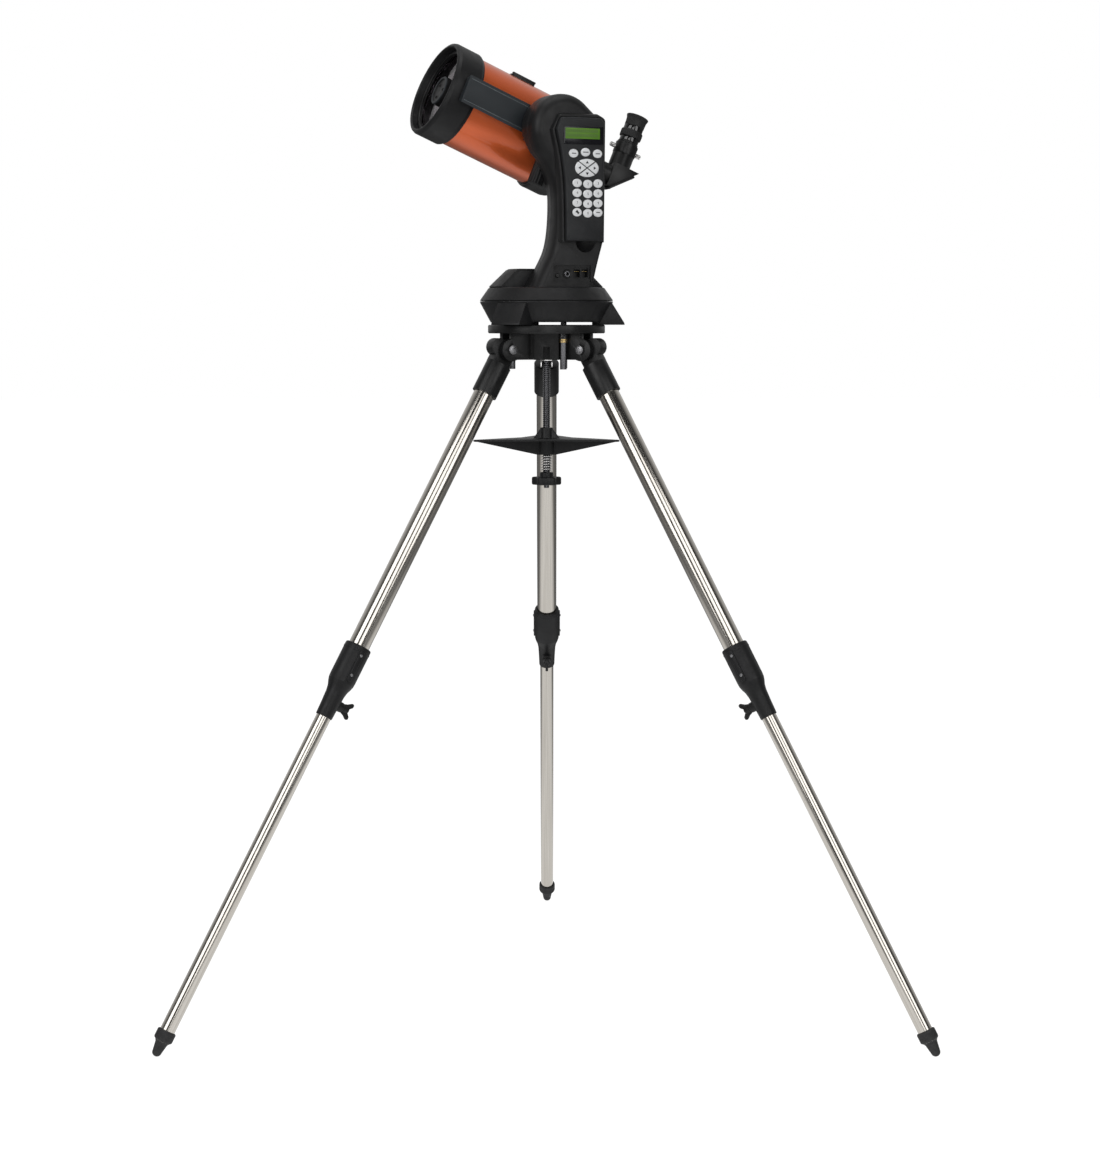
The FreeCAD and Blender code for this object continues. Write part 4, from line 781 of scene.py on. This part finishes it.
def build_panel():
    """Connector panel at the foot of the arm."""
    jack = axis_along(MOUNT, (JACK_X, 64.2, JACK_Z), ALONG_Y)
    sleeve = lathe([(2.85, 0), (4.4, 0), (4.4, 8.6), (3.9, 9.2), (2.85, 9.2)], 40, 0.2)
    mesh_object("power_jack_sleeve", sleeve, jack, "turning_base", DARK_STEEL)
    pin = lathe([(0, 0), (1.0, 0), (1.0, 6.4), (0.6, 7.2), (0, 7.4)], 24, 0.2, closed=False)
    mesh_object("power_jack_pin", pin, jack, "turning_base", PLATED)
    pins = []
    for x in SOCKETS_X:
        for n in range(6):
            at = x - 3.5 + 1.4 * n
            pins.append(box_mesh(at - 0.25, at + 0.25, 64, 69.5, 1136.2, 1136.8, 0.08))
    mesh_object("socket_contacts", joined(pins), MOUNT, "turning_base", BRASS)
    dish = lathe([(4.5, -1.4), (7.2, 0), (7.2, 0.3), (4.5, -1.1)], 48, 0)
    mesh_object("power_jack_dish", dish, axis_along(MOUNT, (JACK_X, 72.9, JACK_Z), ALONG_Y), "turning_base",
                BLACK_PAINT)
    button = lathe([(0, 0), (3.0, 0), (3.0, 10.6), (2.4, 11.2), (0, 11.2)], 40, 0.4)
    at = axis_along(MOUNT, (SWITCH_X, 64.0, SWITCH_Z), ALONG_Y)
    swapped("power_switch", "power_button", button, at, "power_switch", BLACK_PAINT)
    heads = [(screw_head(1.8, 0.9), axis_along(LOCAL, (x, 72.4, 1141.8), ALONG_Y))
             for x in (18.4, -37.0)]
    mesh_object("panel_screws", joined(heads), MOUNT, "turning_base", BLACK_PAINT)


# --- hand control --------------------------------------------------------------------------------
NUMBER_COLUMNS = (-10.4, -28.0, -45.0)
NUMBER_ROWS = (1268.0, 1253.3, 1238.6, 1224.5)
COLUMN_DROPS = (0.2, 1.5, 0.4)
MENU_KEYS = ((-4.5, 1311.6), (-24.2, 1313.7), (-44.2, 1311.9))
PAD = (-26.6, 1290.4)
PAD_W, PAD_H = 39.0, 27.0
KEY_W, KEY_H = 15.2, 12.6
WELL_GAP = 1.0
WELL_SPAN = (81.5, 95)
MARK_SPAN = (89.3, 89.75)
NUMBER_KEYS = tuple((x, z - drop) for z in NUMBER_ROWS for x, drop in zip(NUMBER_COLUMNS, COLUMN_DROPS))


def oval(x, z, width, height, count=40):
    angles = [2 * math.pi * k / count for k in range(count)]
    return [(x + width / 2 * math.cos(a), z + height / 2 * math.sin(a)) for a in angles]


def domed_key(x, z, width=KEY_W, height=KEY_H):
    """Oval key with a softly crowned top."""
    levels = [(82.0, 1.0), (88.6, 1.0), (89.15, 0.965), (89.45, 0.88), (89.58, 0.72), (89.62, 0.4)]
    rings = [[(px, y, pz) for px, pz in oval(x, z, width * s, height * s)] for y, s in levels]
    return loft(rings)


def glyph(text, x, z, size):
    """Flat raised numeral for a key, as a bmesh in the mount frame, read from the arm's outer side."""
    curve = bpy.data.curves.new("glyph", "FONT")
    curve.body = text
    curve.size = size
    curve.extrude = 0.05
    curve.align_x = "CENTER"
    curve.align_y = "CENTER"
    thing = bpy.data.objects.new("glyph", curve)
    bpy.context.scene.collection.objects.link(thing)
    bpy.context.view_layer.update()
    mesh = bpy.data.meshes.new_from_object(thing.evaluated_get(bpy.context.evaluated_depsgraph_get()))
    bm = bmesh.new()
    bm.from_mesh(mesh)
    bpy.data.objects.remove(thing)
    bpy.data.curves.remove(curve)
    bpy.data.meshes.remove(mesh)
    bm.transform(Matrix(((-1, 0, 0, x), (0, 0, 1, 89.6), (0, 1, 0, z), (0, 0, 0, 1))))
    return bm


def build_keys():
    keys = [domed_key(x, z) for x, z in NUMBER_KEYS]
    labels = ("1", "2", "3", "4", "5", "6", "7", "8", "9", "", "0", "")
    marks = [glyph(label, x, z, 5.2) for label, (x, z) in zip(labels, NUMBER_KEYS) if label]
    lamp_x, info_x, low_z = NUMBER_COLUMNS[0], NUMBER_COLUMNS[2], NUMBER_ROWS[-1]
    lamp = [(-3.4, -1.0), (-1.0, -3.4), (0.2, -1.4), (3.4, 0.2), (0.6, 3.4), (-1.2, 1.0)]
    marks.append(side_prism([(lamp_x + x, low_z + z) for x, z in lamp], *MARK_SPAN, 0.05))
    marks.append(box_mesh(info_x - 3.0, info_x + 3.0, *MARK_SPAN, low_z - 0.6, low_z + 0.6, 0.05))
    swapped("number_keys", "number_key_caps", joined(keys), MOUNT, "number_keys", KEY_PLASTIC, 50)
    mesh_object("number_key_marks", joined(marks), MOUNT, "number_keys", INK)
    menu = [domed_key(x, z) for x, z in MENU_KEYS]
    swapped("menu_keys", "menu_key_caps", joined(menu), MOUNT, "menu_keys", KEY_PLASTIC, 50)
    marks = [box_mesh(x - half, x + half, *MARK_SPAN, z - 0.6, z + 0.6, 0.05)
             for half, (x, z) in zip((3.6, 4.4, 3.6), MENU_KEYS)]
    mesh_object("menu_key_marks", joined(marks), MOUNT, "menu_keys", INK)
    for way, (dx, dz) in {"up": (0, 1), "down": (0, -1), "left": (1, 0), "right": (-1, 0)}.items():
        build_pad_key(way, dx, dz)


def build_pad_key(way, dx, dz):
    """One quarter of the oval direction pad, with its arrow."""
    x, z = PAD
    whole = domed_key(x, z, PAD_W, PAD_H)
    slope, half, reach = PAD_H / PAD_W, 0.9, 60.0
    if dx:
        wedge = [(x + dx * half * 1.7, z), (x + dx * (half * 1.7 + reach), z + reach * slope),
                 (x + dx * (half * 1.7 + reach), z - reach * slope)]
    else:
        wedge = [(x, z + dz * half * 1.3), (x - reach, z + dz * (half * 1.3 + reach * slope)),
                 (x + reach, z + dz * (half * 1.3 + reach * slope))]
    quarter = carved(whole, [side_prism(wedge, 70, 100, 0)], "INTERSECT")
    swapped(f"key_{way}", f"pad_{way}", quarter, MOUNT, f"key_{way}", KEY_PLASTIC, 50)
    cx, cz = x + dx * 12.4, z + dz * 8.4
    arrow = [(cx + dx * 2.3, cz + dz * 2.3), (cx - dx * 1.7 + dz * 2.5, cz - dz * 1.7 + dx * 2.5),
             (cx - dx * 1.7 - dz * 2.5, cz - dz * 1.7 - dx * 2.5)]
    mesh_object(f"pad_{way}_arrow", side_prism(arrow, *MARK_SPAN, 0.05), MOUNT, f"key_{way}", INK)


def build_hand_control():
    """Hand control's body with its key wells, window and display."""
    edges = ((68.0, -1.6), (68.6, -0.5), (70.0, 0.0), (84.6, 0.0), (86.4, -0.35), (87.5, -1.3), (88.0, -2.6))
    body = loft([control_ring(y, grow) for y, grow in edges])
    wells = [side_prism(oval(x, z, KEY_W + WELL_GAP, KEY_H + WELL_GAP), *WELL_SPAN, 0)
             for x, z in NUMBER_KEYS + MENU_KEYS]
    wells.append(side_prism(oval(*PAD, 40.2, 28.2), *WELL_SPAN, 0))
    wells.append(box_mesh(-54.2, 11.5, 86.6, 95, 1325.1, 1351.6, 0))
    swapped("hand_control_shell", "control_body", carved(body, wells), MOUNT, "hand_control",
            CONTROL_PLASTIC, 30)
    window = rounded(rectangle(-54, 11.3, 1325.3, 1351.4), 2.0)
    swapped("hand_control_window", "control_window", side_prism(window, 86.7, 88.1, 0.3), MOUNT,
            "hand_control", WINDOW)
    green = rounded(rectangle(-48.3, 8.7, 1333.4, 1349.3), 0.6)
    mesh_object("control_display", side_prism(green, 87.6, 88.2, 0.1), MOUNT, "hand_control", DISPLAY)
    places = [(6.2 - 3.3 * column, 1345.0 - 6.6 * row) for row in range(2) for column in range(16)]
    cells = [box_mesh(x - 1.25, x + 1.25, 88.2, 88.24, z - 2.3, z + 2.3, 0) for x, z in places]
    mesh_object("display_cells", joined(cells), MOUNT, "hand_control", DISPLAY_CELL)


# --- base ----------------------------------------------------------------------------------------
def build_base():
    softened("base_bottom", "base_pan", BLACK_PLASTIC, 1.4, angle=20)
    housing = [(98.5, 1092.3), (101.6, 1092.3), (102, 1093.6), (100.8, 1095.4), (89.6, 1111.4),
               (87.6, 1112.7), (0, 1112.7), (0, 1109.7), (86, 1109.7)]
    top = lathe(housing, 160, 0.8)
    well_outline = rectangle(-46, 46, -72, -25)
    well = prism(well_outline, 1060, 1130, 0)
    swapped("base_housing", "base_turntable", carved(top, [well]), MOUNT, "turning_base", BLACK_PLASTIC)
    tub = prism(rectangle(-48, 48, -74, -23), 1080, 1110.5, 0.5)
    hollow = prism(well_outline, 1082, 1130, 0)
    hub = lathe(rectangle(12.05, 20, 1076, 1110), 64, 0.4)
    mesh_object("battery_tub", joined([carved(tub, [hollow]), hub]), MOUNT, "turning_base", BLACK_PLASTIC)
    springs = []
    for x in (-30, -10, 10, 30):
        coil = [(x + (4 - t * 0.08) * math.cos(t), -30.0 - t * 0.12, 1097 + (4 - t * 0.08) * math.sin(t))
                for t in [k * 0.4 for k in range(60)]]
        springs.append(tube_along(coil, 0.35, 6))
    mesh_object("battery_contacts", joined(springs), MOUNT, "turning_base", PLATED)
    build_cover()
    softened("azimuth_gear", "azimuth_ring_gear", BRASS, 0.15)
    softened("azimuth_pinion", "azimuth_small_gear", GEAR_PLASTIC, 0.12)
    softened("altitude_gear", "altitude_ring_gear", BRASS, 0.15)
    softened("altitude_pinion", "altitude_small_gear", GEAR_PLASTIC, 0.12)
    softened("drive_motors", "motor_cans", PLATED, 0.5)


def build_cover():
    """Domed battery cover, cut flat beside the arm, with a finger notch."""
    profile = [(84.3, 1113.0), (88.0, 1113.0), (88.2, 1114.4), (62.8, 1138.8), (58.4, 1141), (0, 1141),
               (0, 1138), (57.5, 1138)]
    dome = lathe(profile, 160, 1.6)
    keep = prism(rectangle(-120, 120, -120, 21.3), 1100, 1160, 0)
    notch = lathe([(0, -6), (7, -5), (9, 0), (9, 8), (0, 8)], 48, 0)
    notch.transform(axis_along(LOCAL, (0, -86, 1119), (0, -0.7, 0.7)))
    shell = carved(carved(dome, [keep], "INTERSECT"), [notch])
    wall = prism([(-83.2, 0), (83.2, 0), (56.5, 25.2), (-56.5, 25.2)], 0, 2.4, 0.2)
    wall.transform(Matrix(((1, 0, 0, 0), (0, 0, 1, 18.8), (0, 1, 0, 1113.2), (0, 0, 0, 1))))
    swapped("battery_cover", "battery_lid", joined([shell, wall]), MOUNT, "battery_cover", BLACK_PLASTIC, 30)


# --- tripod --------------------------------------------------------------------------------------
def build_head():
    softened("tripod_head", "head_casting", BLACK_PAINT, 0.9, angle=24)
    softened("head_bolts", "head_bolt_set", PLATED, 0.4)
    grips, washers, caps = [], [], []
    for heading in (-61.0, 59.0, 179.0):
        at = Matrix.Rotation(math.radians(heading), 4, "Z") @ Matrix.Translation((53, 0, 0))
        caps.append((fluted(6.9, 0.5, 20, 1035.2, 1042.9, 0.5, 4), at))
        for low, high in ((1029.2, 1031.2), (1032.0, 1034.4)):
            washers.append((lathe(rectangle(5, 6.4, low, high), 48, 0.3), at))
        grips.append((fluted(5.15, 0.25, 24, 988.4, 1028.6, 0.5, 4), at))
    mesh_object("mount_bolt_caps", joined(caps), ROW, "tripod", BLACK_PLASTIC)
    mesh_object("mount_bolt_washers", joined(washers), ROW, "tripod", BRASS)
    mesh_object("mount_bolt_grips", joined(grips), ROW, "tripod", DARK_STEEL)
    sockets = []
    for side in SIDES:
        for way in (-1, 1):
            at = axis_along(leg_frame(side), (0, way * (23.5 if way > 0 else 25.0), 0), (0, way, 0))
            ring = lathe([(2.6, 0), (5.2, 0), (6.2, -0.2), (6.2, 0.5), (5.0, 1.0), (2.8, 1.0)], 6, 0, True)
            sockets.append((ring, Matrix.Scale(1 / MM, 4) @ at))
    mesh_object("pivot_bolt_rims", joined(sockets), ROW, "tripod", PLATED)


def thread(radius, low, high, pitch, depth, steps=24):
    """bmesh of a rod with a helical thread about Z."""
    turns = (high - low) / pitch
    count = int(turns * 6)
    rings = []
    for k in range(count + 1):
        z = low + (high - low) * k / count
        ring = []
        for i in range(steps):
            a = 2 * math.pi * i / steps
            phase = (z - low) / pitch - i / steps
            ring.append(polar(radius - depth * abs(2 * (phase - math.floor(phase + 0.5))), a, z))
        rings.append(ring)
    return loft(rings)


def build_rod():
    tip = lathe([(0, 804.6), (3.4, 804.6), (4, 805.4), (4, 817), (0, 817)], 40, 0.3)
    rod = joined([thread(5.98, 822.5, 1003, 3.0, 0.9), tip])
    swapped("center_rod", "threaded_rod", rod, ROW, "tripod", DARK_STEEL, 60)
    clip = [side_prism(rectangle(side * 7.2, side * 9.4, 991.2, 1001), -6, 6, 0.4)
            for side in (-1, 1)]
    clip.append(side_prism(rectangle(-9.4, 9.4, 1001, 1002.9), -6.3, 6.3, 0.4))
    mesh_object("rod_clip", joined(clip), ROW, "tripod", CHROME)
    low, high, turns, per_turn = 831.0, 854.9, 6, 28
    coil = [polar(7.75, 2 * math.pi * k / per_turn, low + (high - low) * k / (turns * per_turn))
            for k in range(turns * per_turn + 1)]
    swapped("tray_spring", "spring_wire", tube_along(coil, 0.98, 10), ROW, "tripod", CHROME, 60)


def build_tray():
    softened("spreader_tray", "spreader_casting", BLACK_PLASTIC, 1.0, angle=20)
    count = 144
    angles = [2 * math.pi * k / count for k in range(count)]
    levels = ((809.8, 0.93), (810.8, 0.985), (812.4, 1.0), (819.4, 1.0), (821.0, 0.985), (822.0, 0.93))
    rings = [[polar((20.6 + 2.2 * math.cos(6 * a)) * scale, a, z) for a in angles] for z, scale in levels]
    neck = [(6.1, 821.6), (11.4, 821.6), (10.5, 823.6), (10.4, 828.2), (9.6, 829.2), (6.1, 829.2)]
    knob = joined([loft(rings), lathe(neck, 64, 0.6)])
    bore = lathe(rectangle(0, 4.1, 800, 840), 40, 0)
    swapped("tension_knob", "tension_hand_nut", carved(knob, [bore]), ROW, "tension_nut", BLACK_PLASTIC)


def build_leg(side):
    at = leg_frame(side)
    leg, lower = f"leg_{side}", f"leg_{side}_lower"
    softened(f"leg_{side}_yoke", f"{leg}_casting", BLACK_PAINT, 1.6, angle=24, segments=3)
    tube = lathe(rectangle(14.5, 16, -560, -40), 240, 0.3)
    steel = drawn_steel(side)
    swapped(f"leg_{side}_upper_tube", f"{leg}_upper_steel", tube, at, leg, steel)
    build_collar(side, at, leg)
    tube = lathe(rectangle(10, 11.25, -1150, -536), 240, 0.3)
    swapped(f"leg_{side}_lower_tube", f"{leg}_lower_steel", tube, at, lower, steel)
    ball = 1166.2
    foot = [(11.3, -1133), (12.8, -1133), (14.1, -1134.4), (14.25, -1136), (14.25, -1146), (13.6, -1148),
            (11.4, -1149.6), (9.4, -1152.5), (8.6, -1157), (7.6, -1163)]
    tip_r = 7.0
    for angle in range(0, 90, 10):
        a = math.radians(angle)
        foot.append((tip_r * math.cos(a), -ball - tip_r * math.sin(a)))
    foot += [(0, -ball - tip_r), (0, -1150), (11.3, -1150)]
    grooves = [lathe(rectangle(14.0, 15, -1139.2 - 3 * n, -1138.2 - 3 * n),
                     64, 0) for n in range(3)]
    swapped(f"leg_{side}_foot", f"{leg}_rubber_foot", carved(lathe(foot, 64, 0.5), grooves), at, lower,
            RUBBER)


def build_collar(side, at, leg):
    """Clamp collar with its tapered nose, side ridges and screws, and the lock screw."""
    body = [(16.05, -506.2), (18.9, -506.2), (20.2, -507.6), (20.5, -510), (20.5, -560), (20.1, -566),
            (18.4, -572), (16.0, -578), (14.6, -586), (13.6, -604), (13.0, -622.4), (12.6, -624),
            (11.35, -624), (11.35, -566), (16.05, -560)]
    shell = lathe(body, 96, 1.0)
    ridges = []
    for way in (-1, 1):
        pad = rounded(rectangle(-4, 4, -562, -511), 3.0)
        ridge = side_prism(pad, 18.6, 22.2, 0.9, 3)
        if way < 0:
            bmesh.ops.transform(ridge, matrix=Matrix.Rotation(math.pi, 4, "Z"), verts=ridge.verts)
        ridges.append(ridge)
    boss = lathe([(0, 0), (8.2, 0), (7.6, 9.2), (6.6, 10.4), (0, 10.4)], 48, 0.6)
    boss.transform(axis_along(LOCAL, (-10.8, 0, -600), (-1, 0, 0)))
    ring = lathe([(20.4, -515.6), (20.9, -515.2), (20.9, -513.0), (20.4, -512.6)], 96, 0.1)
    bore = lathe(rectangle(0, 11.3, -640, -540), 64, 0)
    collar = joined([shell, carved(boss, [bore]), ring] + ridges)
    swapped(f"leg_{side}_collar", f"{leg}_clamp_collar", collar, at, leg, BLACK_PLASTIC)
    heads = [(screw_head(2.3, 1.3), axis_along(LOCAL, (0, way * 22.1, z), (0, way, 0)))
             for way in (-1, 1) for z in (-520, -552)]
    mesh_object(f"{leg}_collar_screws", joined(heads), at, leg, PLATED)
    wing_at = axis_along(at, (-21.6, 0, -600), (-1, 0, 0))
    wing = rounded([(-7, 0), (-9, 6), (-13.5, 12.5), (-11.5, 15.6), (-7.5, 15.2), (-3, 10.6), (0, 9.6),
                    (3, 10.6), (7.5, 15.2), (11.5, 15.6), (13.5, 12.5), (9, 6), (7, 0)], 2.4)
    blade = side_prism(wing, -2.2, 2.2, 1.0, 3)
    stem = lathe([(0, -10), (3, -10), (3, 0), (6.0, 0.2), (5.6, 8.6), (4.6, 9.8), (0, 9.8)], 40, 0.6)
    swapped(f"leg_{side}_lock_screw", f"{leg}_wing_screw", joined([blade, stem]), wing_at,
            f"leg_{side}_lock_screw", BLACK_PLASTIC)


# --- studio --------------------------------------------------------------------------------------
def build_floor():
    """White sweep: pure white to the camera, bright under the object and dim further out for the rest."""
    made = Shader("studio_floor", (0.26, 0.26, 0.26), 0.75)
    made.tint(made.noise(1.2, 3.0), 0.3, 0.7, (0.25, 0.25, 0.25), (0.27, 0.27, 0.27))
    made.set("Emission Color", (1.0, 1.0, 1.0, 1.0))
    reach = made.node("ShaderNodeVectorMath", operation="LENGTH")
    made.link(made.place, reach.inputs[0])
    sweep = made.span(reach.outputs["Value"], 0.75, 1.5, 0.7, 0.02)
    path = made.node("ShaderNodeLightPath")
    mix = made.node("ShaderNodeMix")
    made.link(path.outputs["Is Camera Ray"], mix.inputs["Factor"])
    made.link(sweep, mix.inputs["A"])
    mix.inputs["B"].default_value = 0.92
    made.link(mix.outputs["Result"], made.shader.inputs["Emission Strength"])
    bm = bmesh.new()
    half = 30.0
    bm.faces.new([bm.verts.new((x, y, 0)) for x, y in rectangle(-half, half, -half, half)])
    floor = to_object(bm, "floor")
    floor.data.materials.append(made.material)


def soft_box(name, location, target, size, power):
    light = bpy.data.lights.new(name, "AREA")
    light.shape = "RECTANGLE"
    light.size, light.size_y = size
    light.energy = power
    lamp = bpy.data.objects.new(name, light)
    lamp.visible_camera = False
    lamp.location = location
    lamp.rotation_euler = (Vector(target) - Vector(location)).to_track_quat("-Z", "Y").to_euler()
    bpy.context.scene.collection.objects.link(lamp)


def build_lights():
    """Big soft panels in front of the object: left, middle and right, with one more overhead."""
    soft_box("panel_left", (-3.0, -3.4, 2.6), (0, 0, 0.9), (2.9, 4.2), 88)
    soft_box("panel_middle", (0.28, -3.6, 1.55), (0, 0, 0.75), (1.5, 2.9), 27)
    soft_box("panel_right", (2.9, -3.4, 2.3), (0, 0, 0.9), (2.0, 3.4), 44)
    soft_box("panel_top", (0, -0.4, 4.2), (0, 0, 0.4), (3.0, 2.2), 34)
    build_world()


def build_world():
    """Dark studio in front, pale backdrop behind, plain white where the camera looks past the object."""
    world = bpy.data.worlds.new("studio")
    bpy.context.scene.world = world
    world.use_nodes = True
    tree = world.node_tree
    tree.nodes.clear()
    new, link = tree.nodes.new, tree.links.new
    output = new("ShaderNodeOutputWorld")
    mix = new("ShaderNodeMixShader")
    path = new("ShaderNodeLightPath")
    seen = new("ShaderNodeBackground")
    seen.inputs["Color"].default_value = (1, 1, 1, 1)
    lit = new("ShaderNodeBackground")
    direction = new("ShaderNodeTexCoord")
    split = new("ShaderNodeSeparateXYZ")
    depth = new("ShaderNodeMapRange")
    for socket, value in (("From Min", -0.3), ("From Max", 0.6), ("To Min", 0.045), ("To Max", 0.72)):
        depth.inputs[socket].default_value = value
    link(direction.outputs["Generated"], split.inputs["Vector"])
    link(split.outputs["Y"], depth.inputs["Value"])
    link(depth.outputs["Result"], lit.inputs["Strength"])
    link(path.outputs["Is Camera Ray"], mix.inputs["Fac"])
    link(lit.outputs["Background"], mix.inputs[1])
    link(seen.outputs["Background"], mix.inputs[2])
    link(mix.outputs["Shader"], output.inputs["Surface"])
    bpy.context.scene.view_settings.view_transform = "Standard"


def build_camera():
    """Long lens at the height of the tripod's top, tilted a little down."""
    camera = bpy.data.cameras.new("camera")
    camera.sensor_width = 36.0
    camera.lens = 78.04
    eye = bpy.data.objects.new("camera", camera)
    tilt = math.radians(5.82)
    eye.location = (0.0054, -3.855, 1.062)
    eye.rotation_euler = (math.pi / 2 - tilt, 0, 0)
    bpy.context.scene.collection.objects.link(eye)
    bpy.context.scene.camera = eye


for build in (build_tube, build_front_cell, build_corrector, build_rear_cell, build_focus_knob, build_bar,
              build_finder_rail, build_saddle, build_eye_end, build_arm, build_hand_control, build_keys,
              build_base, build_head, build_rod, build_tray):
    build()
for leg_side in SIDES:
    build_leg(leg_side)
build_floor()
build_lights()
build_camera()
